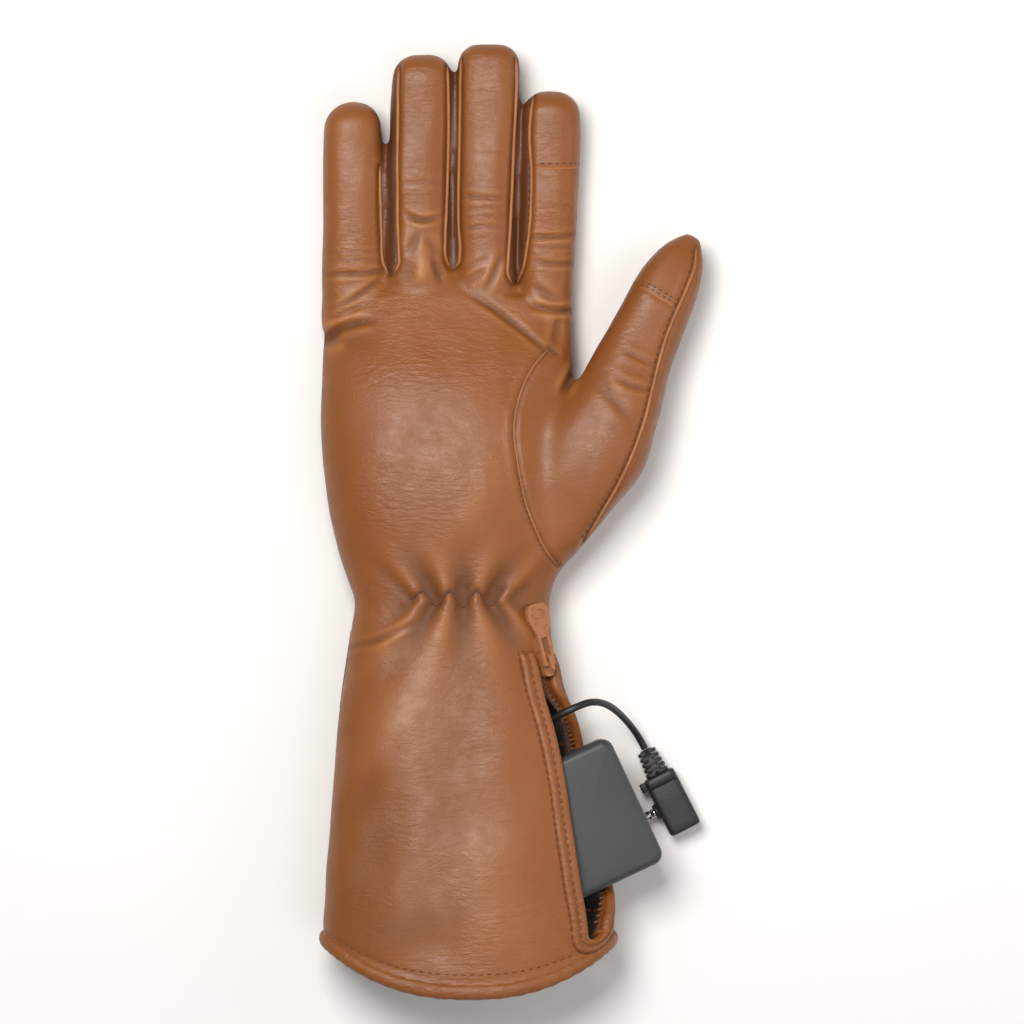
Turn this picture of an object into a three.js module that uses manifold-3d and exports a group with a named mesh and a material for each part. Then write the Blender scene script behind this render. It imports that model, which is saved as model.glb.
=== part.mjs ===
// A right-hand gauntlet glove in leather, heated by a battery in its cuff, lying on its back.
// Millimetres, +Z up, +Y toward the fingertips, +X toward the thumb. While the glove is built,
// y = 0 is the wrist seam and z = 0 is the surface that it lies on.
import * as THREE from "three";
import { mergeVertices } from "three/addons/utils/BufferGeometryUtils.js";
import Module from "manifold-3d";

const wasm = await Module();
wasm.setup();

// Leather, and the space left between two pieces that touch.
const leather = 2.2;
const gap = 0.3;
// From the wrist seam to the part's origin, under the middle of the back of the hand.
const wristToOrigin = 45;

// The hand's trunk: its reach from the midline toward the little finger and toward the thumb.
const wristLittleReach = 33.8;
const wristThumbReach = 36.3;
const palmLittleReach = 46;
const palmThumbReach = 45;
const palmLength = 117;
const heelHeight = 40;
// The back of the wrist stays this far above the surface, on the strap and the switch.
const wristRise = 6;

// The cuff, from the wrist seam to the hem.
const cuffLength = 122;
const hemLittleReach = 45.6;
const hemThumbReach = 60;
const hemHeight = 50;
const hemBow = 17.6;

// Fingers: the middle one is measured from the wrist seam.
const middleReach = 200.7;
const fingerWidth = 23.7;
const fingerDepth = 22;
const fingerSpacing = 1.4;
const fingerLift = 5;
const fourchetteWidth = 11;
const touchPanelLength = 27;

// Thumb: how far its tip lies across and up from the wrist's middle.
const thumbAcross = 88.5;
const thumbUp = 131;
const thumbWidth = 39;
const thumbTouchLength = 24;
const thumbTouchTurn = 27;

// Gathers and soft folds.
const gatherPitch = 13;
const gatherDepth = 1.8;
const foldHeight = 2;

// Zip slit on the thumb side of the cuff.
const slitStart = 18;
const slitEnd = 118;
const slitMouth = 24;
const zipWidth = 7;
const tapeWidth = 8;
const tapeThickness = 1;
const weltWidth = 5.5;
const weltThickness = 1.2;
const sliderLength = 9;
const sliderHeight = 2.2;
const archWidth = 1.6;
const archHeight = 2.8;
const archLength = 6.4;
const archWire = 1;
const sliderCorner = 1.4;
const sliderLean = 11;
const pullLength = 22.5;
const pullWidth = 10;
const pullNeck = 5.4;
const pullCorner = 3;
const pullThickness = 1.3;
const pullBar = 1.3;
const pullRingLength = 6.3;
const pullRingWidth = 4.2;
const pullRingWire = 0.8;
const pullRingHeight = 0.5;

// Battery, its pouch and its socket.
const batteryLength = 62;
const batteryWidth = 49;
const batteryThickness = 15.5;
const batteryCorner = 3.6;
const batteryEdge = 1.4;
const batteryOut = { x: 67.2, y: -70.7, z: 26.9 };
const batteryTurn = 25;
const batteryDip = 4;
const pouchWall = 1;
const socketAcross = 3.9;
const socketRadius = 2.2;
const socketDepth = 4;

// Strap and snap on the back of the wrist.
const strapWidth = 29.5;
const strapThickness = 2.5;
const strapMiddle = 25.5;
const strapFreeAngle = 179;
const strapSewnAngle = 249;
const strapCorner = 9;
const snapAcross = -11.5;
const snapRadius = 7.5;
const snapHeight = 2.4;

// Round switch on the back of the cuff.
const switchAcross = 1;
const switchDown = 75.9;
const switchRadius = 15;
const switchHeight = 4.2;
const switchLobe = 3.8;
const switchLobeTurn = 9;
const switchLobeSpread = 24;
const rimWidth = 3;
const rimHeight = 2;

// Lead and plug. The lead's route is laid by hand, from the slit's mouth down to the plug.
const leadRadius = 1.3;
const leadRoute = [
  { x: 36.7, y: -42.9, z: 33.0 },
  { x: 37.2, y: -42.5, z: 34.5 },
  { x: 38.2, y: -41.8, z: 35.8 },
  { x: 41.6, y: -40.0, z: 37.6 },
  { x: 46.4, y: -37.8, z: 37.6 },
  { x: 50.4, y: -36.5, z: 35.6 },
  { x: 52.4, y: -36.4, z: 33.7 },
  { x: 54.2, y: -36.6, z: 31.6 },
  { x: 57.6, y: -38.0, z: 26.4 },
  { x: 60.6, y: -40.2, z: 20.8 },
  { x: 63.2, y: -42.8, z: 15.6 },
  { x: 65.6, y: -45.6, z: 11.2 },
  { x: 67.8, y: -48.6, z: 7.9 },
  { x: 69.5, y: -51.4, z: 6.1 },
  { x: 70.9, y: -54.0, z: 5.5 },
];
const plugTurn = -63;
const reliefLength = 14;
const reliefRadius = 4.3;
const plugLength = 18;
const plugWidth = 12;
const plugHeight = 11;
const pinRadius = 1.75;
const pinLength = 8.5;

// Sides of the round and lofted forms.
const trunkSides = 32;
const fingerSides = 12;
const thumbSides = 16;
const roundSides = 24;
const switchSides = 36;

// Sections of the hand, from the wrist seam (0) to the crotches (1). little and thumb run from the
// wrist's reach (0) to the palm's (1). low is a share of wristRise, high one of heelHeight.
const handRows = [
  { along: 0.0, little: 0.0, thumb: 0.0, low: 1.0, high: 0.925 },
  { along: 0.06, little: 0.2, thumb: 0.3, low: 0.8, high: 0.925 },
  { along: 0.15, little: 0.5, thumb: 0.52, low: 0.4, high: 0.95 },
  { along: 0.26, little: 0.74, thumb: 0.68, low: 0.0, high: 0.98 },
  { along: 0.4, little: 0.92, thumb: 0.8, low: 0.0, high: 1.0 },
  { along: 0.55, little: 1.0, thumb: 0.88, low: 0.0, high: 0.97 },
  { along: 0.7, little: 0.98, thumb: 0.93, low: 0.0, high: 0.87 },
  { along: 0.82, little: 0.92, thumb: 0.97, low: 0.0, high: 0.75 },
  { along: 0.91, little: 0.92, thumb: 0.97, low: 0.0, high: 0.65 },
  { along: 1.0, little: 0.95, thumb: 0.98, low: 0.0, high: 0.6 },
];
// Sections of the cuff, from the wrist seam (0) to the hem (1). little, thumb and high run from the
// wrist's value (0) to the hem's (1). low is a share of wristRise.
const cuffRows = [
  { along: 0.0, little: 0.0, thumb: 0.0, low: 1.0, high: 0.0 },
  { along: 0.08, little: 0.08, thumb: 0.02, low: 1.0, high: 0.0 },
  { along: 0.18, little: 0.24, thumb: 0.1, low: 1.0, high: 0.05 },
  { along: 0.27, little: 0.38, thumb: 0.2, low: 1.0, high: 0.2 },
  { along: 0.36, little: 0.5, thumb: 0.36, low: 1.0, high: 0.36 },
  { along: 0.46, little: 0.58, thumb: 0.5, low: 0.87, high: 0.5 },
  { along: 0.54, little: 0.64, thumb: 0.59, low: 0.87, high: 0.6 },
  { along: 0.63, little: 0.7, thumb: 0.67, low: 0.87, high: 0.68 },
  { along: 0.71, little: 0.78, thumb: 0.75, low: 0.87, high: 0.77 },
  { along: 0.8, little: 0.86, thumb: 0.84, low: 0.87, high: 0.86 },
  { along: 0.9, little: 0.93, thumb: 0.95, low: 0.35, high: 0.95 },
  { along: 1.0, little: 1.0, thumb: 1.0, low: 0.17, high: 1.0 },
];
// Soft folds of the palm side. across is a share of the palm's width, up one of palmLength above the
// wrist or of cuffLength below it, length and width of the palm's width, height of foldHeight.
const palmFolds = [
  { across: 0.24, up: 0.87, turn: -38, length: 0.2, width: 0.045, height: -0.6 },
  { across: -0.44, up: 0.8, turn: 20, length: 0.12, width: 0.05, height: -0.7 },
  { across: -0.12, up: 0.5, turn: 70, length: 0.35, width: 0.09, height: -0.4 },
  { across: 0.12, up: 0.3, turn: 60, length: 0.22, width: 0.07, height: 0.5 },
  { across: -0.22, up: -0.35, turn: 62, length: 0.3, width: 0.09, height: 0.6 },
  { across: 0.02, up: -0.55, turn: 80, length: 0.35, width: 0.1, height: -0.6 },
  { across: -0.3, up: -0.75, turn: 75, length: 0.3, width: 0.1, height: -0.5 },
  { across: 0.18, up: -0.85, turn: 100, length: 0.25, width: 0.11, height: 0.6 },
];
// How far the crotch line rises above or falls below palmLength, across the palm's width.
const crotchRows = [
  { across: -0.5, rise: -0.01 },
  { across: -0.22, rise: 0.002 },
  { across: 0.015, rise: 0.024 },
  { across: 0.25, rise: -0.026 },
  { across: 0.5, rise: -0.03 },
];
// Each finger's reach is a share of middleReach and its width one of fingerWidth.
const fingerRows = [
  { name: "little", reach: 0.897, width: 0.94, depth: 0.94 },
  { name: "ring", reach: 0.982, width: 0.985, depth: 0.98 },
  { name: "middle", reach: 1.0, width: 1.0, depth: 1.0 },
  { name: "index", reach: 0.914, width: 0.87, depth: 0.96 },
];
// A finger from its root in the palm (0) to its tip (1), as shares of its own width and depth.
const fingerProfile = [
  { along: 0.0, width: 0.5, depth: 0.5 },
  { along: 0.12, width: 0.93, depth: 0.93 },
  { along: 0.24, width: 1.0, depth: 1.0 },
  { along: 0.4, width: 1.0, depth: 0.99 },
  { along: 0.48, width: 0.965, depth: 0.93 },
  { along: 0.57, width: 0.99, depth: 0.98 },
  { along: 0.74, width: 0.96, depth: 0.93 },
  { along: 0.9, width: 0.945, depth: 0.88 },
  { along: 0.95, width: 0.87, depth: 0.77 },
  { along: 0.983, width: 0.7, depth: 0.57 },
  { along: 1.0, width: 0.46, depth: 0.32 },
];
// The thumb from its root to its tip: across and up are shares of thumbAcross and thumbUp, width and
// depth of thumbWidth, and middle is the height of its axis as a share of heelHeight.
const thumbRows = [
  { across: 0.36, up: 0.13, turn: 33, width: 0.56, depth: 0.6, middle: 0.5 },
  { across: 0.45, up: 0.229, turn: 30, width: 0.69, depth: 0.72, middle: 0.5 },
  { across: 0.52, up: 0.32, turn: 28, width: 0.85, depth: 0.82, middle: 0.52 },
  { across: 0.588, up: 0.42, turn: 27, width: 1.0, depth: 0.84, middle: 0.53 },
  { across: 0.667, up: 0.534, turn: 26, width: 0.9, depth: 0.78, middle: 0.52 },
  { across: 0.751, up: 0.656, turn: 26, width: 0.72, depth: 0.66, middle: 0.5 },
  { across: 0.83, up: 0.771, turn: 27, width: 0.63, depth: 0.58, middle: 0.47 },
  { across: 0.9, up: 0.872, turn: 29, width: 0.565, depth: 0.53, middle: 0.45 },
  { across: 0.95, up: 0.937, turn: 31, width: 0.45, depth: 0.43, middle: 0.44 },
  { across: 0.98, up: 0.975, turn: 32, width: 0.29, depth: 0.28, middle: 0.44 },
  { across: 1.0, up: 1.0, turn: 32, width: 0.12, depth: 0.12, middle: 0.44 },
];
// The seam that sets the thumb into the palm: shares of palmThumbReach and palmLength.
const thumbSeam = [
  { across: 0.9, up: 0.08 },
  { across: 0.69, up: 0.22 },
  { across: 0.56, up: 0.387 },
  { across: 0.52, up: 0.498 },
  { across: 0.606, up: 0.645 },
  { across: 0.815, up: 0.781 },
  { across: 1.3, up: 0.76 },
  { across: 1.3, up: 0.04 },
];
// Mouth of the slit, from its wrist end (0) to its hem end (1): 0 is the zip's own width, 1 slitMouth.
const slitRows = [
  { along: 0.0, open: 0.0 },
  { along: 0.14, open: 0.0 },
  { along: 0.24, open: 0.45 },
  { along: 0.36, open: 0.9 },
  { along: 0.5, open: 1.0 },
  { along: 0.72, open: 1.0 },
  { along: 0.86, open: 0.7 },
  { along: 0.95, open: 0.2 },
  { along: 1.0, open: 0.0 },
];

// The rounded crown that closes the trunk between the fingers, in shares of crownDepth.
const crownDepth = 8;
const crownRows = [
  { inward: 0, back: 0.62 },
  { inward: 0.38, back: 0.15 },
  { inward: 1, back: 0 },
];

const palmWidth = palmLittleReach + palmThumbReach;
const wristHeight = heelHeight * handRows[0].high;
const trunkPower = 2.3;
const fingerPower = 2.3;
// The trunk is pressed flat where it lies: its round section would reach this much lower.
const backPress = 3;
const degree = Math.PI / 180;
const { clamp, lerp } = THREE.MathUtils;

// The value of one column of a table at a place between its rows.
function column(rows, along, name) {
  const last = rows.length - 1;
  let i = 0;
  while (i < last - 1 && along > rows[i + 1].along) i += 1;
  const share = (along - rows[i].along) / (rows[i + 1].along - rows[i].along);
  return lerp(rows[i][name], rows[i + 1][name], clamp(share, 0, 1));
}

// A superellipse's reach along one axis, from the sine or cosine of its angle.
function bulge(value, power) {
  return Math.sign(value) * Math.abs(value) ** (2 / power);
}

// Height added to the palm side by gathers and soft folds, at a place on the glove.
function relief(x, y) {
  let height = 0;
  for (const fold of palmFolds) {
    const across = x - fold.across * palmWidth;
    const up = y - fold.up * (fold.up > 0 ? palmLength : cuffLength);
    const turn = fold.turn * degree;
    const lengthwise = across * Math.cos(turn) + up * Math.sin(turn);
    const sideways = up * Math.cos(turn) - across * Math.sin(turn);
    const reach = (lengthwise / (fold.length * palmWidth)) ** 2;
    const spread = (sideways / (fold.width * palmWidth)) ** 2;
    height += fold.height * foldHeight * Math.exp(-reach - spread);
  }
  const gatherMiddle = 3;
  const fade = Math.exp(-((y / (1.4 * gatherPitch)) ** 2) - ((x - gatherMiddle) / (2 * gatherPitch)) ** 4);
  const wave = 0.5 + 0.5 * Math.cos((2 * Math.PI * (x - gatherMiddle)) / gatherPitch);
  return height - gatherDepth * wave * fade;
}

// The four reaches of the trunk at a place along the glove.
function sectionAt(y) {
  if (y >= 0) {
    const along = y / palmLength;
    return {
      little: lerp(wristLittleReach, palmLittleReach, column(handRows, along, "little")),
      thumb: lerp(wristThumbReach, palmThumbReach, column(handRows, along, "thumb")),
      low: wristRise * column(handRows, along, "low"),
      high: heelHeight * column(handRows, along, "high"),
    };
  }
  const along = -y / cuffLength;
  return {
    little: lerp(wristLittleReach, hemLittleReach, column(cuffRows, along, "little")),
    thumb: lerp(wristThumbReach, hemThumbReach, column(cuffRows, along, "thumb")),
    low: wristRise * column(cuffRows, along, "low"),
    high: lerp(wristHeight, hemHeight, column(cuffRows, along, "high")),
  };
}

// A point of the trunk's skin. The angle is 0 at the palm side and turns toward the thumb, and the
// offset is measured outward from the leather's outer face.
function trunkPoint(y, angle, offset) {
  const section = sectionAt(y);
  const bottom = section.low - backPress;
  const halfX = (section.little + section.thumb) / 2 + offset;
  const halfZ = (section.high - bottom) / 2 + offset;
  const x = (section.thumb - section.little) / 2 + halfX * bulge(Math.sin(angle), trunkPower);
  const round = (section.high + bottom) / 2 + halfZ * bulge(Math.cos(angle), trunkPower);
  const upper = clamp(Math.cos(angle) * 2, 0, 1);
  const z = Math.max(round + upper * relief(x, y), section.low - offset);
  return new THREE.Vector3(x, y, z);
}

// The same skin with the hem's bow: along runs from the wrist seam (0) to the hem (1).
function cuffPoint(along, angle, offset, beyond = 0) {
  const point = trunkPoint(-along * cuffLength, angle, offset);
  point.y -= hemBow * Math.cos(angle) ** 2 * along ** 4 + beyond;
  return point;
}

// The angle that lies a distance further round the cuff's outer face.
function angleAfter(y, angle, distance) {
  const step = 0.5 * degree * Math.sign(distance);
  let left = Math.abs(distance);
  let here = trunkPoint(y, angle, 0);
  let turned = angle;
  for (let i = 0; i < 360; i += 1) {
    const next = trunkPoint(y, turned + step, 0);
    const reach = next.distanceTo(here);
    if (reach >= left) return turned + (step * left) / reach;
    left -= reach;
    here = next;
    turned += step;
  }
  return turned;
}

function geometryOf(points, index) {
  const geometry = new THREE.BufferGeometry();
  geometry.setFromPoints(points);
  geometry.setIndex(index);
  return geometry;
}

// Side faces between rings of equal count, each turning right-handed about the way they follow.
function sideFaces(ringCount, sides) {
  const index = [];
  for (let r = 0; r < ringCount - 1; r += 1) {
    for (let i = 0; i < sides; i += 1) {
      const here = r * sides + i;
      const next = r * sides + ((i + 1) % sides);
      index.push(here, next, next + sides, here, next + sides, here + sides);
    }
  }
  return index;
}

// A closed body through rings, each end capped from its middle.
function loft(rings) {
  const sides = rings[0].length;
  const points = rings.flat();
  const index = sideFaces(rings.length, sides);
  const lastRing = (rings.length - 1) * sides;
  const startMiddle = points.length;
  const endMiddle = startMiddle + 1;
  for (const ring of [rings[0], rings[rings.length - 1]]) {
    const middle = new THREE.Vector3();
    ring.forEach((point) => middle.addScaledVector(point, 1 / sides));
    points.push(middle);
  }
  for (let i = 0; i < sides; i += 1) {
    const next = (i + 1) % sides;
    index.push(startMiddle, next, i, endMiddle, lastRing + i, lastRing + next);
  }
  return geometryOf(points, index);
}

// A closed slab: each row lists its outer points one way, and the inner points lie under them.
function slab(rows) {
  const rings = rows.map((row) => [...row.outer, ...row.inner.slice().reverse()]);
  const sides = rings[0].length;
  const index = sideFaces(rings.length, sides);
  const lastRing = (rings.length - 1) * sides;
  for (let i = 0; i < sides / 2 - 1; i += 1) {
    const under = sides - 1 - i;
    index.push(i, under, i + 1, i + 1, under, under - 1);
    index.push(lastRing + i, lastRing + i + 1, lastRing + under);
    index.push(lastRing + i + 1, lastRing + under - 1, lastRing + under);
  }
  return geometryOf(rings.flat(), index);
}

// A strip of the cuff between two angles that may change along it, and between two offsets.
function cuffStrip(alongs, anglesAt, columns, low, high) {
  const rows = alongs.map((along) => {
    const [from, to] = anglesAt(along);
    const angles = Array.from({ length: columns }, (_, i) => lerp(from, to, i / (columns - 1)));
    return {
      outer: angles.map((angle) => cuffPoint(along, angle, high)),
      inner: angles.map((angle) => cuffPoint(along, angle, low)),
    };
  });
  return slab(rows.reverse());
}

// A closed geometry as a solid that can be joined and cut.
function solid(geometry) {
  const bare = geometry.clone();
  bare.deleteAttribute("normal");
  bare.deleteAttribute("uv");
  const merged = mergeVertices(bare, 1e-4);
  return new wasm.Manifold(
    new wasm.Mesh({
      numProp: 3,
      vertProperties: merged.attributes.position.array,
      triVerts: new Uint32Array(merged.index.array),
    }),
  );
}

function geometryFrom(made) {
  const mesh = made.getMesh();
  const geometry = new THREE.BufferGeometry();
  geometry.setAttribute("position", new THREE.BufferAttribute(mesh.vertProperties, 3));
  geometry.setIndex(new THREE.BufferAttribute(mesh.triVerts, 1));
  return geometry;
}

function join(solids) {
  return solids.reduce((whole, next) => whole.add(next));
}

// The largest body of a cut, without the slivers beside it.
function mainBody(made) {
  return made.decompose().reduce((best, body) => (body.volume() > best.volume() ? body : best));
}

// Materials.
const paint = (color, roughness, metalness) =>
  new THREE.MeshStandardMaterial({ color, roughness, metalness });
const tanLeather = paint(0x9c5f30, 0.5, 0);
const seamLeather = paint(0x7a4524, 0.55, 0);
const paintedMetal = paint(0xa5682f, 0.4, 0.3);
const capMetal = paint(0x9a7a4a, 0.35, 0.8);
const darkPlastic = paint(0x4b4b4b, 0.55, 0);
const blackRubber = paint(0x111111, 0.6, 0);
const switchRubber = paint(0x8f5830, 0.5, 0);
const tapeCloth = paint(0x5e3c22, 0.9, 0);
const pouchCloth = paint(0x2a2624, 0.95, 0);

const glove = new THREE.Group();

function addPiece(name, geometry, material, parent = glove) {
  geometry.computeVertexNormals();
  const mesh = new THREE.Mesh(geometry, material);
  mesh.name = name;
  parent.add(mesh);
  return mesh;
}

// Trunk of the hand: an outer and an inner body, closed over the knuckles by a rounded crown.
function crotchRise(x) {
  const rows = crotchRows.map((row) => ({ along: row.across, rise: row.rise }));
  return palmLength * column(rows, x / palmWidth, "rise");
}

function trunkRing(y, offset, rise, yShift) {
  return Array.from({ length: trunkSides }, (_, i) => {
    const point = trunkPoint(y, (2 * Math.PI * i) / trunkSides, offset);
    point.y += rise * crotchRise(point.x) + yShift;
    return point;
  });
}

function trunkBody(start, offset) {
  const ys = handRows.slice(1, -1).map((row) => row.along * palmLength);
  const rings = [start, ...ys].map((y) => trunkRing(y, offset, 0, 0));
  for (const row of crownRows) {
    rings.push(trunkRing(palmLength, offset - row.inward * crownDepth, 1, offset - row.back * crownDepth));
  }
  return solid(loft(rings));
}

// One ring of a finger or thumb round its axis, which turns from +Y toward +X.
function digitRing(centre, turn, halfWidth, halfDepth, sides) {
  const right = new THREE.Vector3(Math.cos(turn), -Math.sin(turn), 0);
  return Array.from({ length: sides }, (_, i) => {
    const angle = (2 * Math.PI * i) / sides;
    const point = centre.clone().addScaledVector(right, halfWidth * bulge(Math.sin(angle), fingerPower));
    point.z += halfDepth * bulge(Math.cos(angle), fingerPower);
    return point;
  });
}

const fingerRoot = 0.76 * palmLength;
let fingerEdge = -palmLittleReach - 0.2;
const fingers = fingerRows.map((row) => {
  const width = row.width * fingerWidth;
  const finger = {
    name: row.name,
    middle: fingerEdge + width / 2,
    width,
    depth: row.depth * fingerDepth,
    tip: row.reach * middleReach,
  };
  fingerEdge += width + fingerSpacing;
  return finger;
});

// Height of a finger's axis, which rises a little toward the tip.
function fingerAxis(finger, y) {
  const along = (y - fingerRoot) / (finger.tip - fingerRoot);
  return gap + finger.depth / 2 + fingerLift * clamp(along, 0, 1) ** 2;
}

function fingerBody(finger, offset) {
  const length = finger.tip + offset - fingerRoot;
  const rings = fingerProfile.map((row) => {
    const y = fingerRoot + row.along * length;
    const centre = new THREE.Vector3(finger.middle, y, fingerAxis(finger, y));
    const halfWidth = Math.max((row.width * finger.width) / 2 + offset, 1);
    const halfDepth = Math.max((row.depth * finger.depth) / 2 + offset, 1);
    return digitRing(centre, 0, halfWidth, halfDepth, fingerSides);
  });
  return solid(loft(rings));
}

function thumbBody(offset) {
  const last = thumbRows.length - 1;
  const rings = thumbRows.map((row, i) => {
    const turn = row.turn * degree;
    const back = i >= last - 2 ? offset : 0;
    const centre = new THREE.Vector3(
      row.across * thumbAcross + back * Math.sin(turn),
      row.up * thumbUp + back * Math.cos(turn),
      row.middle * heelHeight,
    );
    const halfWidth = Math.max((row.width * thumbWidth) / 2 + offset, 0.8);
    const halfDepth = Math.max((row.depth * thumbWidth) / 2 + offset, 0.8);
    return digitRing(centre, turn, halfWidth, halfDepth, thumbSides);
  });
  return solid(loft(rings));
}

function handBody(start, offset) {
  const digits = fingers.map((finger) => fingerBody(finger, offset));
  return join([trunkBody(start, offset), ...digits, thumbBody(offset)]);
}

const handSkin = handBody(gap / 2, 0).subtract(handBody(-leather, -leather));

// Moves each point of a closed outline inward along the mean of its two sides' normals.
function insetOutline(points, distance) {
  return points.map((point, i) => {
    const before = points[(i + points.length - 1) % points.length];
    const after = points[(i + 1) % points.length];
    const along = after.clone().sub(before).normalize();
    return new THREE.Vector2(point.x + along.y * distance, point.y - along.x * distance);
  });
}

// An upright prism over an outline, from one height to another, sheared by lean millimetres of +X
// for each millimetre down.
function prism(points, low, high, lean) {
  const geometry = new THREE.ExtrudeGeometry(new THREE.Shape(points), {
    depth: high - low,
    bevelEnabled: false,
  });
  geometry.translate(0, 0, low);
  const shear = new THREE.Matrix4().set(1, 0, -lean, lean * high, 0, 1, 0, 0, 0, 0, 1, 0, 0, 0, 0, 1);
  geometry.applyMatrix4(shear);
  return solid(geometry);
}

function boxBetween(low, high) {
  const size = new THREE.Vector3().subVectors(high, low);
  const geometry = new THREE.BoxGeometry(size.x, size.y, size.z);
  geometry.translate((low.x + high.x) / 2, (low.y + high.y) / 2, (low.z + high.z) / 2);
  return solid(geometry);
}

// The space that belongs to the thumb: inside its seam on the palm side, and all that lies past the
// edge of the trunk.
function thumbSpace(inset) {
  const outline = thumbSeam.map(
    (row) => new THREE.Vector2(row.across * palmThumbReach, row.up * palmLength),
  );
  const ordered = THREE.ShapeUtils.isClockWise(outline) ? outline : outline.reverse();
  const seamLean = 0.55;
  const seamPrism = prism(insetOutline(ordered, inset), -leather, heelHeight + leather, seamLean);
  const edge = new THREE.Vector3(palmThumbReach + gap + inset, -leather, -leather);
  const far = new THREE.Vector3(2 * thumbAcross, 1.2 * thumbUp, 2 * heelHeight);
  const indexEdge = fingers[3].middle + fingers[3].width / 2;
  const upper = new THREE.Vector3(indexEdge + gap + inset, 0.7 * palmLength, -leather);
  const lower = boxBetween(edge, new THREE.Vector3(far.x, 0.72 * palmLength, far.z));
  return join([seamPrism, lower, boxBetween(upper, far)]);
}

function fourchetteTip(first, second) {
  return Math.min(first.tip, second.tip) - 0.55 * fingerWidth;
}

// Side strips between two fingers, up to where the rounded tips begin.
function fourchetteSpace(first, second, inset) {
  const tip = fourchetteTip(first, second);
  const rows = [0.9 * palmLength + inset, lerp(palmLength, tip, 0.5), tip - inset].map((y) => {
    const middle = (fingerAxis(first, y) + fingerAxis(second, y)) / 2;
    const half = fourchetteWidth / 2 - inset;
    return [
      new THREE.Vector3(first.middle + inset, y, middle + half),
      new THREE.Vector3(second.middle - inset, y, middle + half),
      new THREE.Vector3(second.middle - inset, y, middle - half),
      new THREE.Vector3(first.middle + inset, y, middle - half),
    ];
  });
  return solid(loft(rows));
}

// The panel on the palm side of the index tip.
function indexPanelSpace(inset) {
  const [, , middle, index] = fingers;
  const start = index.tip - touchPanelLength;
  const stripTip = fourchetteTip(middle, index);
  const stripAxis = (fingerAxis(middle, stripTip) + fingerAxis(index, stripTip)) / 2;
  const low = stripAxis + fourchetteWidth / 2 + gap + inset;
  return boxBetween(
    new THREE.Vector3(index.middle - index.width / 2 - gap, start + inset, low),
    new THREE.Vector3(index.middle + index.width / 2 + gap, index.tip + leather, 2 * fingerDepth),
  );
}

// The panel on the palm side of the thumb's tip, square to its axis.
function thumbPanelSpace(inset) {
  const tip = thumbRows[thumbRows.length - 1];
  const size = 2 * thumbTouchLength;
  const geometry = new THREE.BoxGeometry(size, size, size);
  geometry.translate(0, size / 2 - thumbTouchLength + inset, size / 2 + inset);
  geometry.rotateZ(-thumbTouchTurn * degree);
  geometry.translate(thumbAcross, thumbUp, tip.middle * heelHeight);
  return solid(geometry);
}

const thumbSkin = mainBody(handSkin.intersect(thumbSpace(gap / 2)));
const palmSkin = mainBody(handSkin.subtract(thumbSpace(-gap / 2)));
addPiece(
  "thumb",
  geometryFrom(mainBody(thumbSkin.subtract(thumbPanelSpace(-gap / 2)))),
  tanLeather,
);
addPiece(
  "thumb_touch_tip",
  geometryFrom(mainBody(thumbSkin.intersect(thumbPanelSpace(gap / 2)))),
  tanLeather,
);

const [little, ring, middle, index] = fingers;
const fingerPairs = [
  [little, ring],
  [ring, middle],
  [middle, index],
];
let trank = palmSkin.subtract(indexPanelSpace(-gap / 2));
for (const [first, second] of fingerPairs) {
  trank = trank.subtract(fourchetteSpace(first, second, -gap / 2));
  const strip = palmSkin.intersect(fourchetteSpace(first, second, gap / 2));
  addPiece(`fourchette_${first.name}_${second.name}`, geometryFrom(mainBody(strip)), seamLeather);
}
addPiece("hand", geometryFrom(mainBody(trank)), tanLeather);
addPiece(
  "index_touch_tip",
  geometryFrom(mainBody(palmSkin.intersect(indexPanelSpace(gap / 2)))),
  tanLeather,
);

// Battery: a rounded box that sticks out of the slit, with a round socket in its outer end.
const batteryPlace = new THREE.Group();
batteryPlace.rotation.set(0, batteryDip * degree, batteryTurn * degree, "ZYX");
batteryPlace.position.set(batteryOut.x, batteryOut.y, batteryOut.z);
batteryPlace.updateMatrix();
glove.add(batteryPlace);

function roundedOutline(length, width, corner) {
  const shape = new THREE.Shape();
  const x = length / 2 - corner;
  const y = width / 2 - corner;
  shape.absarc(x, y, corner, 0, 90 * degree, false);
  shape.absarc(-x, y, corner, 90 * degree, 180 * degree, false);
  shape.absarc(-x, -y, corner, 180 * degree, 270 * degree, false);
  shape.absarc(x, -y, corner, 270 * degree, 360 * degree, false);
  return shape;
}

// The battery's block, grown on every side, with its outer end at x = 0.
function batteryBlock(growth) {
  const edge = batteryEdge + growth;
  const shape = roundedOutline(
    batteryLength + 2 * growth - 2 * edge,
    batteryWidth + 2 * growth - 2 * edge,
    batteryCorner,
  );
  const geometry = new THREE.ExtrudeGeometry(shape, {
    depth: batteryThickness + 2 * growth - 2 * edge,
    curveSegments: 2,
    bevelEnabled: true,
    bevelThickness: edge,
    bevelSize: edge,
    bevelSegments: 1,
  });
  geometry.center();
  geometry.translate(-batteryLength / 2, 0, 0);
  return geometry;
}

const socket = new THREE.CylinderGeometry(socketRadius, socketRadius, 2 * socketDepth, 12);
socket.rotateZ(90 * degree);
socket.translate(0, socketAcross, 0);
addPiece(
  "battery_case",
  geometryFrom(solid(batteryBlock(0)).subtract(solid(socket))),
  darkPlastic,
  batteryPlace,
);

function placedBattery(growth) {
  return solid(batteryBlock(growth).applyMatrix4(batteryPlace.matrix));
}

// Cuff: its skin, the slit, and what lines the slit.
const trunkAngles = Array.from({ length: trunkSides }, (_, i) => (2 * Math.PI * i) / trunkSides);
const bindingHalf = 2.2;

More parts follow.
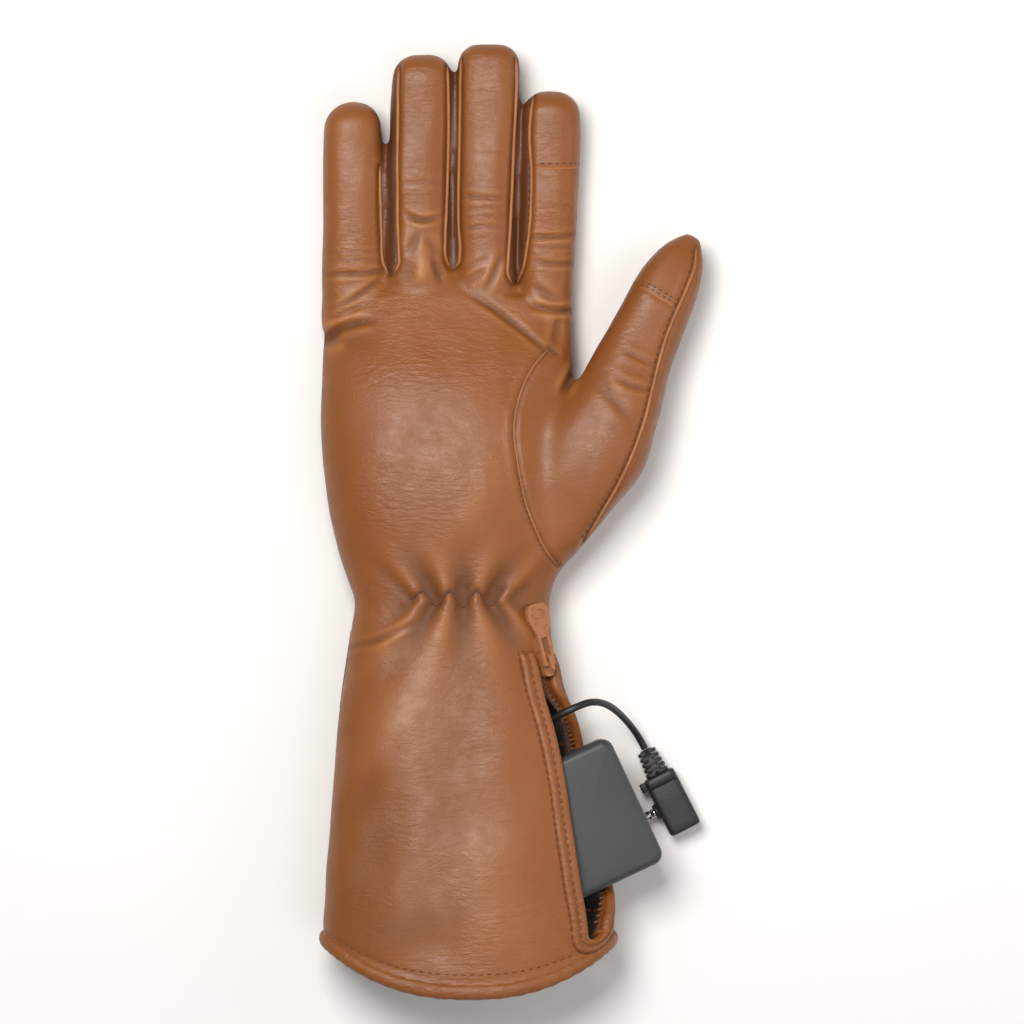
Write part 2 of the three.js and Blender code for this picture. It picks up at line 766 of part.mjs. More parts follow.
function cuffBody(offset, wristEnd, hemEnd) {
  const alongs = cuffRows.slice(1).map((row) => row.along);
  const rings = alongs
    .reverse()
    .map((along) =>
      trunkAngles.map((angle) => {
        const point = cuffPoint(along, angle, offset);
        if (along === 1) point.y += hemEnd;
        return point;
      }),
    );
  rings.push(trunkAngles.map((angle) => trunkPoint(wristEnd, angle, offset)));
  return loft(rings);
}

const slitAngle = 50 * degree;
const slitSteps = 13;

// The two edges of the slit's mouth, in angles round the cuff, and how far it is open, 0 to 1.
function slitEdges(along) {
  const start = slitStart / cuffLength;
  const end = slitEnd / cuffLength;
  const open = column(slitRows, (along - start) / (end - start), "open");
  const width = lerp(zipWidth, slitMouth, open);
  return [slitAngle, angleAfter(-along * cuffLength, slitAngle, width), open];
}

// Places along the slit, from a little past one end to a little past the other.
function slitAlongs(past) {
  return Array.from({ length: slitSteps + 1 }, (_, i) => {
    return lerp(slitStart, slitEnd, lerp(-past, 1 + past, i / slitSteps)) / cuffLength;
  });
}

const slitCutter = solid(cuffStrip(slitAlongs(0), slitEdges, 5, -2 * leather, 2 * leather));
const battery = placedBattery(gap);
const cuffSkin = solid(cuffBody(0, -gap / 2, bindingHalf + gap))
  .subtract(solid(cuffBody(-leather, leather, -bindingHalf)))
  .subtract(slitCutter)
  .subtract(battery);
addPiece("cuff", geometryFrom(mainBody(cuffSkin)), tanLeather);

// Hem binding: a rounded bead that closes the end of the cuff.
function hoop(sides, profile) {
  const points = [];
  const index = [];
  const rings = trunkAngles.length;
  for (let r = 0; r < rings; r += 1) {
    for (let i = 0; i < sides; i += 1) points.push(profile(trunkAngles[r], (2 * Math.PI * i) / sides));
  }
  for (let r = 0; r < rings; r += 1) {
    for (let i = 0; i < sides; i += 1) {
      const here = r * sides + i;
      const beside = r * sides + ((i + 1) % sides);
      const next = ((r + 1) % rings) * sides;
      index.push(here, next + (beside % sides), next + i);
      index.push(here, beside, next + (beside % sides));
    }
  }
  return geometryOf(points, index);
}

addPiece(
  "hem_binding",
  hoop(6, (angle, turn) => {
    const offset = -leather / 2 + (leather / 2 + 0.8) * Math.sin(turn);
    return cuffPoint(1, angle, offset, -bindingHalf * Math.cos(turn));
  }),
  tanLeather,
);

// Welts lie on the leather beside the mouth, tapes lie under it and reach into the mouth.
const cuffSpace = solid(cuffBody(gap, leather, bindingHalf + gap));
const tapeHigh = -leather - gap;
const tapeLow = tapeHigh - tapeThickness;
const tapeSpace = solid(cuffBody(tapeHigh, leather, -bindingHalf));
const stripAlongs = slitAlongs(0.02);

// A strip beside the mouth, on the side of the upper (-1) or the lower (1) lip, between two distances
// from that lip that may change with the mouth's opening.
function slitStrip(side, reaches, low, high) {
  const strip = cuffStrip(
    stripAlongs,
    (along) => {
      const y = -along * cuffLength;
      const edges = slitEdges(along);
      const edge = side < 0 ? edges[0] : edges[1];
      const [near, far] = reaches(edges[2]);
      const angles = [angleAfter(y, edge, side * near), angleAfter(y, edge, side * far)];
      return side < 0 ? angles.reverse() : angles;
    },
    3,
    low,
    high,
  );
  return solid(strip).subtract(battery);
}

for (const [side, lip] of [
  [-1, "upper"],
  [1, "lower"],
]) {
  const weltReaches = () => [gap, weltWidth];
  const welt = slitStrip(side, weltReaches, -gap, gap + weltThickness).subtract(cuffSpace);
  addPiece(`zip_welt_${lip}`, geometryFrom(mainBody(welt)), tanLeather);
  // The tape's edge is at the middle of the closed zip, and under the lip where the mouth is open.
  const tapeReaches = (open) => [lerp((gap - zipWidth) / 2, gap, open), tapeWidth - zipWidth / 2];
  const tape = slitStrip(side, tapeReaches, tapeLow, gap - leather).intersect(tapeSpace);
  addPiece(`zip_tape_${lip}`, geometryFrom(mainBody(tape)), tapeCloth);
}

// Slider and pull stand on the closed stretch of the zip, in a frame laid on the cuff's skin: x runs
// round the cuff, y toward the fingers, z outward.
const sliderDown = slitStart + sliderLength / 2 + 2 * gap;
const sliderAngle = angleAfter(-sliderDown, slitAngle, zipWidth / 2);
const sliderPlace = new THREE.Group();
const sliderOrigin = trunkPoint(-sliderDown, sliderAngle, 0);
const sliderRound = trunkPoint(-sliderDown, sliderAngle + degree, 0).sub(sliderOrigin).normalize();
const sliderUp = trunkPoint(-sliderDown + 4, sliderAngle, 0).sub(sliderOrigin);
const sliderNormal = new THREE.Vector3().crossVectors(sliderRound, sliderUp).normalize();
sliderRound.applyAxisAngle(sliderNormal, sliderLean * degree);
const sliderForward = new THREE.Vector3().crossVectors(sliderNormal, sliderRound);
sliderPlace.quaternion.setFromRotationMatrix(
  new THREE.Matrix4().makeBasis(sliderRound, sliderForward, sliderNormal),
);
sliderPlace.position.copy(sliderOrigin);
glove.add(sliderPlace);

const sliderFoot = tapeHigh + 2 * gap;
const sliderTop = sliderFoot + leather + sliderHeight;
const sliderShape = roundedOutline(zipWidth - 10 * gap, sliderLength, sliderCorner);
const sliderBlock = new THREE.ExtrudeGeometry(sliderShape, {
  depth: sliderTop - sliderFoot,
  curveSegments: 3,
  bevelEnabled: false,
});
sliderBlock.translate(0, 0, sliderFoot);

const archShape = new THREE.Shape();
archShape.moveTo(-archLength / 2, -0.5);
archShape.lineTo(-archLength / 2, archHeight - archWire);
archShape.lineTo(-archLength / 2 + archWire, archHeight);
archShape.lineTo(archLength / 2 - archWire, archHeight);
archShape.lineTo(archLength / 2, archHeight - archWire);
archShape.lineTo(archLength / 2, -0.5);
archShape.lineTo(archLength / 2 - archWire, -0.5);
archShape.lineTo(archLength / 2 - archWire, archHeight - archWire);
archShape.lineTo(-archLength / 2 + archWire, archHeight - archWire);
archShape.lineTo(-archLength / 2 + archWire, -0.5);
const arch = new THREE.ExtrudeGeometry(archShape, { depth: archWidth, bevelEnabled: false });
arch.translate(0, 0, -archWidth / 2);
arch.rotateX(90 * degree);
arch.rotateZ(90 * degree);
arch.translate(0, 0, sliderTop);
addPiece(
  "zip_slider",
  geometryFrom(solid(sliderBlock).add(solid(arch))),
  paintedMetal,
  sliderPlace,
);

// The pull's cross bar lies under the arch, in a long loop that takes the arch's leg. Past its waist
// the pull widens to a plate with a raised oval ring.
const pullSlot = archWidth + 4 * gap;
const barHeight = sliderTop + gap + pullThickness / 2;
const pullPlace = new THREE.Group();
pullPlace.position.set(0, 0, barHeight);
sliderPlace.add(pullPlace);
const barHalf = pullBar / 2;
const pullTop = pullLength - barHalf;
const pullWaist = 0.48 * pullLength;
const pullShoulder = 0.72 * pullLength;
const pullSide = pullWidth / 2;
const pullShape = new THREE.Shape();
pullShape.moveTo(-pullNeck / 2, -barHalf);
pullShape.lineTo(pullNeck / 2, -barHalf);
pullShape.lineTo(pullNeck / 2, pullWaist);
pullShape.lineTo(pullSide, pullShoulder);
pullShape.absarc(pullSide - pullCorner, pullTop - pullCorner, pullCorner, 0, 90 * degree, false);
pullShape.absarc(pullCorner - pullSide, pullTop - pullCorner, pullCorner, 90 * degree, 180 * degree, false);
pullShape.lineTo(-pullSide, pullShoulder);
pullShape.lineTo(-pullNeck / 2, pullWaist);
const slotShape = new THREE.Path();
slotShape.moveTo(-pullSlot / 2, barHalf);
slotShape.lineTo(-pullSlot / 2, pullWaist - pullBar);
slotShape.lineTo(pullSlot / 2, pullWaist - pullBar);
slotShape.lineTo(pullSlot / 2, barHalf);
pullShape.holes.push(slotShape);
const pullPlate = new THREE.ExtrudeGeometry(pullShape, {
  depth: pullThickness,
  curveSegments: 4,
  bevelEnabled: false,
});
pullPlate.translate(0, 0, -pullThickness / 2);

const ringMiddle = pullTop - pullRingWidth / 2 - pullRingWire - gap;
const pullRing = new THREE.Shape();
pullRing.absellipse(0, ringMiddle, pullRingLength / 2, pullRingWidth / 2, 0, 2 * Math.PI);
const ringHole = new THREE.Path();
const ringHoleLength = pullRingLength / 2 - pullRingWire;
ringHole.absellipse(0, ringMiddle, ringHoleLength, pullRingWidth / 2 - pullRingWire, 0, 2 * Math.PI, true);
pullRing.holes.push(ringHole);
const ringBead = new THREE.ExtrudeGeometry(pullRing, {
  depth: pullThickness / 2 + pullRingHeight,
  curveSegments: 6,
  bevelEnabled: false,
});
const pull = solid(pullPlate).add(solid(ringBead));
addPiece("zip_pull", geometryFrom(pull), paintedMetal, pullPlace);

// Pouch: a thin cloth sleeve round the battery's inner part, ending just inside the cuff's wall.
const pouchInside = solid(cuffBody(tapeLow - gap, leather, -bindingHalf));
const pouch = placedBattery(gap + pouchWall).subtract(placedBattery(gap)).intersect(pouchInside);
addPiece("battery_pocket", geometryFrom(mainBody(pouch)), pouchCloth);

// Strap across the back of the wrist: rounded free end, the other end sewn into the side seam.
const strapHalf = strapWidth / 2;
const strapSteps = [-1, -0.94, -0.8, -0.5, 0, 0.5, 0.8, 0.94, 1];

function strapAngles(along) {
  const y = -along * cuffLength;
  const fromEdge = strapHalf - Math.abs(-y - strapMiddle);
  const inCorner = clamp(strapCorner - fromEdge, 0, strapCorner);
  const setBack = strapCorner - Math.sqrt(strapCorner ** 2 - inCorner ** 2);
  return [angleAfter(y, strapFreeAngle * degree, setBack + gap), strapSewnAngle * degree];
}

const strapStrip = cuffStrip(
  strapSteps.map((step) => (strapMiddle + step * strapHalf) / cuffLength),
  strapAngles,
  14,
  -gap,
  gap + strapThickness,
);
addPiece("wrist_strap", geometryFrom(mainBody(solid(strapStrip).subtract(cuffSpace))), tanLeather);

// Height of the cuff's back face under a place down from the wrist seam.
function backHeight(down) {
  return sectionAt(-down).low;
}

const snapProfile = [
  [0, 0],
  [0.8, 0],
  [0.97, 0.25],
  [1, 0.6],
  [0.94, 1],
  [0, 1],
].map(([radius, height]) => new THREE.Vector2(radius * snapRadius, height * snapHeight));
const snap = new THREE.LatheGeometry(snapProfile, roundSides);
snap.rotateX(90 * degree);
const snapPiece = addPiece("snap_cap", snap, capMetal);
const strapFace = backHeight(strapMiddle) - gap - strapThickness;
snapPiece.position.set(snapAcross, -strapMiddle, strapFace - gap - snapHeight);

// Round switch with a small lobe toward the thumb side, and the leather ring round it.
function lobedOutline(radius) {
  const points = Array.from({ length: switchSides }, (_, i) => {
    const angle = (2 * Math.PI * i) / switchSides;
    const past = angle - switchLobeTurn * degree;
    const away = Math.atan2(Math.sin(past), Math.cos(past));
    const reach = radius + switchLobe * Math.exp(-((away / (switchLobeSpread * degree)) ** 4));
    return new THREE.Vector2(reach * Math.cos(angle), reach * Math.sin(angle));
  });
  return points;
}

function addSwitchPiece(name, outline, hole, height, material) {
  const shape = new THREE.Shape(outline);
  if (hole) shape.holes.push(new THREE.Path(hole));
  const geometry = new THREE.ExtrudeGeometry(shape, { depth: height, bevelEnabled: false });
  const piece = addPiece(name, geometry, material);
  piece.position.set(switchAcross, -switchDown, backHeight(switchDown) - gap - height);
}

addSwitchPiece(
  "button_rim",
  lobedOutline(switchRadius + gap + rimWidth),
  lobedOutline(switchRadius + gap),
  rimHeight,
  tanLeather,
);
addSwitchPiece("power_button", lobedOutline(switchRadius), null, switchHeight, switchRubber);

// Lead and plug: the plug lies on the surface, and its pin points back at the battery.
const routePoints = leadRoute.map((point) => new THREE.Vector3(point.x, point.y, point.z));
const route = new THREE.CatmullRomCurve3(routePoints, false, "centripetal");
const leadShape = new THREE.Shape();
leadShape.absarc(0, 0, leadRadius, 0, 2 * Math.PI, false);
addPiece(
  "lead",
  new THREE.ExtrudeGeometry(leadShape, { steps: 18, curveSegments: 4, extrudePath: route }),
  blackRubber,
);

// The plug's frame: x runs away from the lead's end, across the surface.
const plugPlace = new THREE.Group();
const leadEnd = routePoints[routePoints.length - 1];
plugPlace.position.copy(leadEnd);
plugPlace.rotation.z = plugTurn * degree;
glove.add(plugPlace);

const reliefProfile = [
  [0, 0],
  [0.42, 0],
  [0.6, 0.1],
  [0.78, 0.4],
  [0.9, 0.75],
  [1, 1],
  [0, 1],
].map(([radius, along]) => new THREE.Vector2(radius * reliefRadius, along * reliefLength));
const plugRelief = new THREE.LatheGeometry(reliefProfile, 12);
plugRelief.rotateZ(-90 * degree);
plugRelief.translate(2 * gap, 0, 0);
addPiece("plug_relief", plugRelief, blackRubber, plugPlace);

const plugStart = 3 * gap + reliefLength;
const plugBevel = 1.5;
const plugBlock = new THREE.ExtrudeGeometry(
  roundedOutline(plugLength - 2 * plugBevel, plugWidth - 2 * plugBevel, 2),
  {
    depth: plugHeight - 2 * plugBevel,
    curveSegments: 3,
    bevelEnabled: true,
    bevelThickness: plugBevel,
    bevelSize: plugBevel,
    bevelSegments: 1,
  },
);
plugBlock.center();
plugBlock.translate(plugStart + plugLength / 2, 0, plugHeight / 2 - leadEnd.z);
addPiece("plug_body", plugBlock, blackRubber, plugPlace);

const pin = new THREE.CylinderGeometry(pinRadius, pinRadius, pinLength, 12);
pin.translate(plugStart + 0.42 * plugLength, -plugWidth / 2 - gap - pinLength / 2, 0);
addPiece("plug_pin", pin, capMetal, plugPlace);

glove.position.y = -wristToOrigin;
const part = new THREE.Group();
part.add(glove);

export default part;
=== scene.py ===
import math

import bmesh
import bpy
import numpy as np
from mathutils import Matrix, Vector
from mathutils.bvhtree import BVHTree


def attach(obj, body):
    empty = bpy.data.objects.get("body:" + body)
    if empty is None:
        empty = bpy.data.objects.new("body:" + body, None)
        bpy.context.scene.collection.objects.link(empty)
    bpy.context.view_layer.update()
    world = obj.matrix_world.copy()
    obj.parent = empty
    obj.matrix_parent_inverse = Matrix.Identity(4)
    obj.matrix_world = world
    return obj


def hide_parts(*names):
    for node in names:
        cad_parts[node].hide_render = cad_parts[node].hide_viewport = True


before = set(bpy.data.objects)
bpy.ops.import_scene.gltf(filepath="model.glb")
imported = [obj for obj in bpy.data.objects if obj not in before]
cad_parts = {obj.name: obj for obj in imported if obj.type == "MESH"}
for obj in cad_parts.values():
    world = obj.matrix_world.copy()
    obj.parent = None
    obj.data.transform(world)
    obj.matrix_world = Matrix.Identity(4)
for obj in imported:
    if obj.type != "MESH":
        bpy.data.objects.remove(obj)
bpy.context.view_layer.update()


# Studio: the glove lies on a matt paper sheet under three soft boxes and a pale sky. The camera looks
# straight down with a long lens, and its picture is FIELD wide at CAMERA_PLANE above the floor.
# Lengths in this file are in millimetres until a mesh is finished.
MM = 0.001
FIELD = 368.3
CAMERA_HEIGHT = 2200.0
CAMERA_PLANE = 22.0
VIEW_MIDDLE = (22.8, -13.4)
SENSOR = 36.0
FLOOR_HALF = 3000.0
SKY_STRENGTH = 0.19

camera_data = bpy.data.cameras.new("camera")
camera_data.sensor_width = SENSOR
camera_data.lens = SENSOR * (CAMERA_HEIGHT - CAMERA_PLANE) / FIELD
camera_data.clip_end = 20.0
camera = bpy.data.objects.new("camera", camera_data)
camera.location = (VIEW_MIDDLE[0] * MM, VIEW_MIDDLE[1] * MM, CAMERA_HEIGHT * MM)
bpy.context.scene.collection.objects.link(camera)
bpy.context.scene.camera = camera
bpy.context.scene.view_settings.view_transform = "Standard"


def area_light(name, place, aim, size, watts, colour=(1.0, 1.0, 1.0)):
    """A square soft box at a place, turned to face another point."""
    data = bpy.data.lights.new(name, "AREA")
    data.size = size * MM
    data.energy = watts
    data.color = colour
    light = bpy.data.objects.new(name, data)
    light.location = Vector(place) * MM
    light.rotation_euler = (Vector(aim) - Vector(place)).to_track_quat("-Z", "Y").to_euler()
    bpy.context.scene.collection.objects.link(light)


area_light("key_light", (-160, 240, 900), (20, -10, 20), 380, 7.9, (1.0, 0.985, 0.96))
area_light("fill_light", (300, -500, 1000), (20, -20, 20), 800, 2.4)
area_light("side_light", (620, 60, 420), (40, -60, 20), 420, 1.0)
world = bpy.data.worlds.new("studio")
bpy.context.scene.world = world
world.use_nodes = True
sky = world.node_tree.nodes["Background"].inputs
sky["Color"].default_value = (1.0, 1.0, 1.0, 1.0)
sky["Strength"].default_value = SKY_STRENGTH


def linear(code):
    """A linear colour from an sRGB hex code."""
    values = [int(code[i : i + 2], 16) / 255 for i in (1, 3, 5)]
    return (*[v / 12.92 if v <= 0.04045 else ((v + 0.055) / 1.055) ** 2.4 for v in values], 1.0)


def add_node(tree, kind, inputs=None, **settings):
    """Adds a node with its settings. An input, named or counted, takes a value, a hex code, a socket
    or a node, whose first output is then linked. In a Mix node 0 is the share and 6 and 7 are the
    colours. In a Map Range node 1 and 2 are the range that is read, and 3 and 4 the range given."""
    node = tree.nodes.new("ShaderNode" + kind)
    for name, value in settings.items():
        setattr(node, name, value)
    for name, value in (inputs or {}).items():
        if isinstance(value, bpy.types.Node):
            value = value.outputs[0]
        if isinstance(value, bpy.types.NodeSocket):
            tree.links.new(value, node.inputs[name])
        else:
            node.inputs[name].default_value = linear(value) if isinstance(value, str) else value
    return node


def new_material(name):
    """An empty material, its node tree and its object coordinates."""
    material = bpy.data.materials.new(name)
    material.use_nodes = True
    tree = material.node_tree
    tree.nodes.clear()
    return material, tree, add_node(tree, "TexCoord").outputs["Object"]


# Coated paper: even, off-white and without shine, so that only soft shadows show on it.
paper, tree, _ = new_material("matt_paper_sheet")
shader = add_node(tree, "BsdfPrincipled", {"Base Color": "#F6F5F3", "Roughness": 0.9})
add_node(tree, "OutputMaterial", {"Surface": shader})
floor_maker = bmesh.new()
bmesh.ops.create_grid(floor_maker, x_segments=1, y_segments=1, size=FLOOR_HALF * MM)
floor_mesh = bpy.data.meshes.new("floor")
floor_maker.to_mesh(floor_mesh)
floor_maker.free()
floor_mesh.materials.append(paper)
floor = bpy.data.objects.new("floor", floor_mesh)
bpy.context.scene.collection.objects.link(floor)


# Lead: a round two-core cord in black rubber, 2.6 mm across, that comes out of the zipped pocket,
# arches over the cuff's edge and runs down to the plug. Its jacket is extruded, so it is even.
LEAD_RADIUS = 1.3
# The wrist seam's Y in the frame. Places along the glove are counted from it.
WRIST = -45.0
# The lead's middle line: across, along, up.
LEAD_ROUTE = [
    (36.7, -42.9, 33.0), (37.2, -42.5, 34.5), (38.2, -41.8, 35.8), (41.6, -40.0, 37.6),
    (46.4, -37.8, 37.6), (50.4, -36.5, 35.6), (52.4, -36.4, 33.7), (54.2, -36.6, 31.6),
    (57.6, -38.0, 26.4), (60.6, -40.2, 20.8), (63.2, -42.8, 15.6), (65.6, -45.6, 11.2),
    (67.8, -48.6, 7.9), (69.5, -51.4, 6.1), (70.9, -54.0, 5.5),
]


def two_tone(name, tones, patches, relief, strength, depth, finish):
    """A material in two tones that follow one texture, with the relief of another, its depth in
    millimetres. A texture is its kind, its inputs and, where it has any, its settings."""
    material, tree, coords = new_material(name)
    patterns = []
    for kind, inputs, *settings in (patches, relief):
        texture = add_node(tree, kind, {"Vector": coords, **inputs}, **dict(*settings))
        patterns.append(texture.outputs.get("Fac", texture.outputs[0]))
    tone = add_node(tree, "Mix", {0: patterns[0], 6: tones[0], 7: tones[1]}, data_type="RGBA")
    bump = add_node(tree, "Bump", {"Height": patterns[1], "Strength": strength, "Distance": depth * MM})
    shader = add_node(tree, "BsdfPrincipled", {"Base Color": tone.outputs[2], "Normal": bump, **finish})
    add_node(tree, "OutputMaterial", {"Surface": shader})
    return material


# Extruded rubber: dull black, with a dusty bloom in 4 mm patches and a fine skin of 0.4 mm.
rubber = two_tone(
    "extruded_black_rubber", ("#0B0B0C", "#1C1C1D"),
    ("TexNoise", {"Scale": 260.0, "Detail": 4.0}), ("TexNoise", {"Scale": 2600.0, "Detail": 2.0}),
    0.35, 0.04, {"Roughness": 0.42, "IOR": 1.52},
)

lead_data = bpy.data.curves.new("lead_cord", "CURVE")
lead_data.dimensions = "3D"
lead_line = lead_data.splines.new("BEZIER")
lead_line.bezier_points.add(len(LEAD_ROUTE) - 1)
for point, (x, y, z) in zip(lead_line.bezier_points, LEAD_ROUTE):
    point.co = Vector((x, y + WRIST, z)) * MM
    point.handle_left_type = point.handle_right_type = "AUTO"
lead_line.resolution_u = 8
lead_data.bevel_depth = LEAD_RADIUS * MM
lead_data.bevel_resolution = 4
lead_data.use_fill_caps = True
lead_data.materials.append(rubber)
lead = bpy.data.objects.new("lead_cord", lead_data)
bpy.context.scene.collection.objects.link(lead)
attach(lead, "glove")
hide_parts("lead")


# Leather: goatskin with wadding and a thin lining behind it, 3 mm in all, cut as a palm-and-back
# trank, a set-in thumb and side strips, sewn and turned. The hollow skin is lofted from sections of
# the trunk and of each digit, joined into one, smoothed, and pressed in where it is sewn or creased.
LEATHER = 3.0
PALM_LENGTH = 117.0
CUFF_LENGTH = 122.0
HEM_STITCHES, HEM_GROOVE = 4.4, 0.4
HEM_BOW = 17.6
BACK_PRESS = 3.0
TRUNK_POWER, TRUNK_POINTS = 2.4, 72
FINGER_POWER, FINGER_POINTS = 2.9, 36
VOXEL, INNER_VOXEL = 1.13, 2.4
# How far the inner form runs past the hem, to leave the cuff open.
PAST_HEM = 8
# Rings that round off the palm's end: place from the end, inset.
PALM_END = ((-5.0, 0.0), (-1.2, 3.0), (0.0, 8.0))
# Place along the glove from the wrist seam, reach toward the little finger and toward the thumb,
# lowest and highest face of the section.
TRUNK_ROWS = np.array([
    (-122.0, 45.6, 60.0, 1.0, 50.0), (-109.8, 44.4, 58.8, 2.1, 49.3), (-97.6, 43.9, 56.2, 5.2, 48.2),
    (-86.6, 43.0, 54.1, 5.2, 47.0), (-76.9, 42.1, 52.2, 5.2, 45.8), (-65.9, 41.4, 50.3, 5.2, 44.8),
    (-56.1, 40.6, 48.2, 5.2, 43.5), (-43.9, 39.7, 44.8, 6.0, 41.7), (-32.9, 38.3, 41.0, 6.0, 39.6),
    (-22.0, 36.6, 38.7, 6.0, 37.7), (-9.8, 34.7, 36.8, 6.0, 37.0), (0.0, 33.8, 36.3, 6.0, 37.0),
    (7.0, 36.2, 38.9, 4.8, 37.0), (17.6, 39.9, 40.8, 2.4, 38.0), (30.4, 42.8, 42.2, 0.0, 39.2),
    (46.8, 45.0, 43.3, 0.0, 39.5), (64.4, 46.0, 43.9, 0.0, 37.4), (81.9, 45.8, 44.4, 0.0, 32.6),
    (95.9, 45.0, 44.7, 0.0, 27.0), (106.5, 45.0, 44.7, 0.0, 23.4), (117.0, 45.4, 44.8, 0.0, 20.5),
])
# How far the crotches lie above or below the end of the palm, across the hand.
CROTCH_ROWS = np.array([(-45.5, -1.2), (-20.0, 0.2), (1.4, 2.8), (22.8, -3.0), (45.5, -3.5)])
# Soft folds on the palm side: across, up from the wrist, turn in degrees, length, width, height.
SOFT_FOLDS = [
    (22.0, 101.0, -38, 15.0, 2.6, -1.3), (-40.0, 93.6, 20, 11.0, 4.6, -1.4),
    (-11.0, 58.5, 70, 32.0, 8.2, -0.8), (11.0, 35.1, 60, 20.0, 6.4, 1.0),
    (-20.0, -42.7, 62, 27.0, 8.2, 1.2), (1.8, -67.1, 80, 32.0, 9.1, -1.2),
    (-27.3, -91.5, 75, 27.0, 9.1, -1.6), (16.4, -103.7, 100, 23.0, 10.0, 1.2),
    (-31.0, -70.0, 55, 14.0, 4.0, -1.6), (-14.0, -116.0, 20, 26.0, 6.0, -1.3),
]
# Outline of each finger in the glove's frame: place along it, left edge, right edge.
FINGERS = {
    "little": [(89, -41, -28), (98, -45.4, -24.0), (110, -45.9, -23.4), (135, -45.6, -23.4),
               (152, -45.6, -23.8), (166, -45.2, -24.2), (179.6, -44.6, -24.6)],
    "ring": [(89, -17, -5), (98, -22.0, 0.4), (110, -22.6, 1.0), (135, -22.6, 0.7),
             (152, -22.4, 0.5), (176, -21.0, 1.2), (196.8, -19.6, 0.9)],
    "middle": [(89, 8, 20), (98, 2.6, 24.2), (110, 2.2, 24.0), (135, 2.5, 24.1),
               (152, 2.6, 24.5), (176, 2.8, 25.6), (200.4, 3.4, 25.2)],
    "index": [(89, 31, 41), (98, 26.4, 44.0), (110, 25.6, 44.5), (128, 25.3, 45.8),
              (145, 25.4, 46.7), (163, 26.3, 47.8), (183.2, 27.0, 46.9)],
}
TIP_CORNER = {"little": 9.5, "ring": 8.0, "middle": 7.2, "index": 8.2}
FINGER_DEPTH = {"little": 20.7, "ring": 21.6, "middle": 22.0, "index": 21.1}
FINGER_LIFT, FINGER_BASE = 5.0, 0.3
# Share of a finger's depth, against the share of its length.
DEPTH_ROWS = ([0, 0.12, 0.24, 0.4, 0.48, 0.57, 0.74, 0.9, 1.0],
              [0.5, 0.95, 1, 1, 0.96, 0.98, 0.93, 0.88, 0.82])
# The least half width of a ring at a finger's end, and at the thumb's.
FINGER_END, THUMB_END = 0.6, 0.7
# Thumb from root to tip: across, up, turn from the glove's axis in degrees, width, depth, middle.
THUMB_ROWS = np.array([
    (31.9, 17.0, 33, 21.8, 23.4, 20.0), (39.8, 30.0, 30, 26.9, 28.1, 20.0),
    (46.0, 41.9, 28, 33.2, 32.0, 20.8), (52.0, 55.0, 27, 39.0, 32.8, 21.2),
    (60.3, 70.0, 26, 32.4, 30.0, 20.8), (66.5, 85.9, 26, 28.1, 25.7, 20.0),
    (73.5, 101.0, 27, 24.6, 22.6, 18.8), (79.7, 114.2, 29, 22.0, 20.7, 18.0),
    (84.1, 122.7, 31, 17.6, 16.8, 17.6), (86.7, 127.7, 32, 11.3, 10.9, 17.6),
    (88.5, 131.0, 32, 4.7, 4.7, 17.6),
])


def smooth_value(rows, at):
    """The columns of a table at a place, on a smooth line through its rows."""
    places, values = rows[:, 0], rows[:, 1:]
    slopes = np.gradient(values, places, axis=0)
    i = int(np.clip(np.searchsorted(places, at) - 1, 0, len(places) - 2))
    span = places[i + 1] - places[i]
    t = np.clip((at - places[i]) / span, 0, 1)
    return ((1 + 2 * t) * (1 - t) ** 2 * values[i] + t * (1 - t) ** 2 * span * slopes[i]
            + t * t * (3 - 2 * t) * values[i + 1] + t * t * (t - 1) * span * slopes[i + 1])


def bulge(value, power):
    """A superellipse's reach along one axis, from the sine or cosine of its angle."""
    return np.sign(value) * np.abs(value) ** (2 / power)


def hill(distance, width):
    """A smooth bump of height 1 at distance 0."""
    return np.exp(-((distance / width) ** 2))


def turned(x, y, across, up, turn):
    """How far places lie along and aside of a fold that is turned by some degrees."""
    c, s = math.cos(math.radians(turn)), math.sin(math.radians(turn))
    return (x - across) * c + (y - up) * s, (y - up) * c - (x - across) * s


def soft_folds(x, y):
    """Height that the soft folds add to the palm side."""
    height = np.zeros_like(x)
    for across, up, turn, length, width, rise in SOFT_FOLDS:
        along, aside = turned(x, y, across, up, turn)
        height += rise * hill(along, length) * hill(aside, width)
    return height


def trunk_point(y, angles, offset=0.0):
    """Points of the trunk's section. Angle 0 is the palm side, and turns toward the thumb."""
    little, thumb, low, high = smooth_value(TRUNK_ROWS, y)
    angles = np.atleast_1d(np.asarray(angles, float))
    bottom = low - BACK_PRESS
    x = (thumb - little) / 2 + ((little + thumb) / 2 + offset) * bulge(np.sin(angles), TRUNK_POWER)
    z = (high + bottom) / 2 + ((high - bottom) / 2 + offset) * bulge(np.cos(angles), TRUNK_POWER)
    z += np.clip(2 * np.cos(angles), 0, 1) * soft_folds(x, np.full_like(x, y))
    z = np.maximum(z, low - offset)
    along = max(-y / CUFF_LENGTH, 0)
    ys = y - HEM_BOW * np.cos(angles) ** 2 * along**4
    return np.stack([x, ys, z], axis=1)


def full_turn(count):
    """Even angles round a circle."""
    return np.linspace(0, 2 * math.pi, count, endpoint=False)


def digit_ring(centre, turn, half_width, half_depth):
    """Points of a finger's or the thumb's section, square to an axis turned from +Y toward +X."""
    angles = full_turn(FINGER_POINTS)
    aside = half_width * bulge(np.sin(angles), FINGER_POWER)
    up = half_depth * bulge(np.cos(angles), FINGER_POWER - 0.4)
    x, y, z = centre
    return np.stack([x + aside * math.cos(turn), y - aside * math.sin(turn), z + up], axis=1)


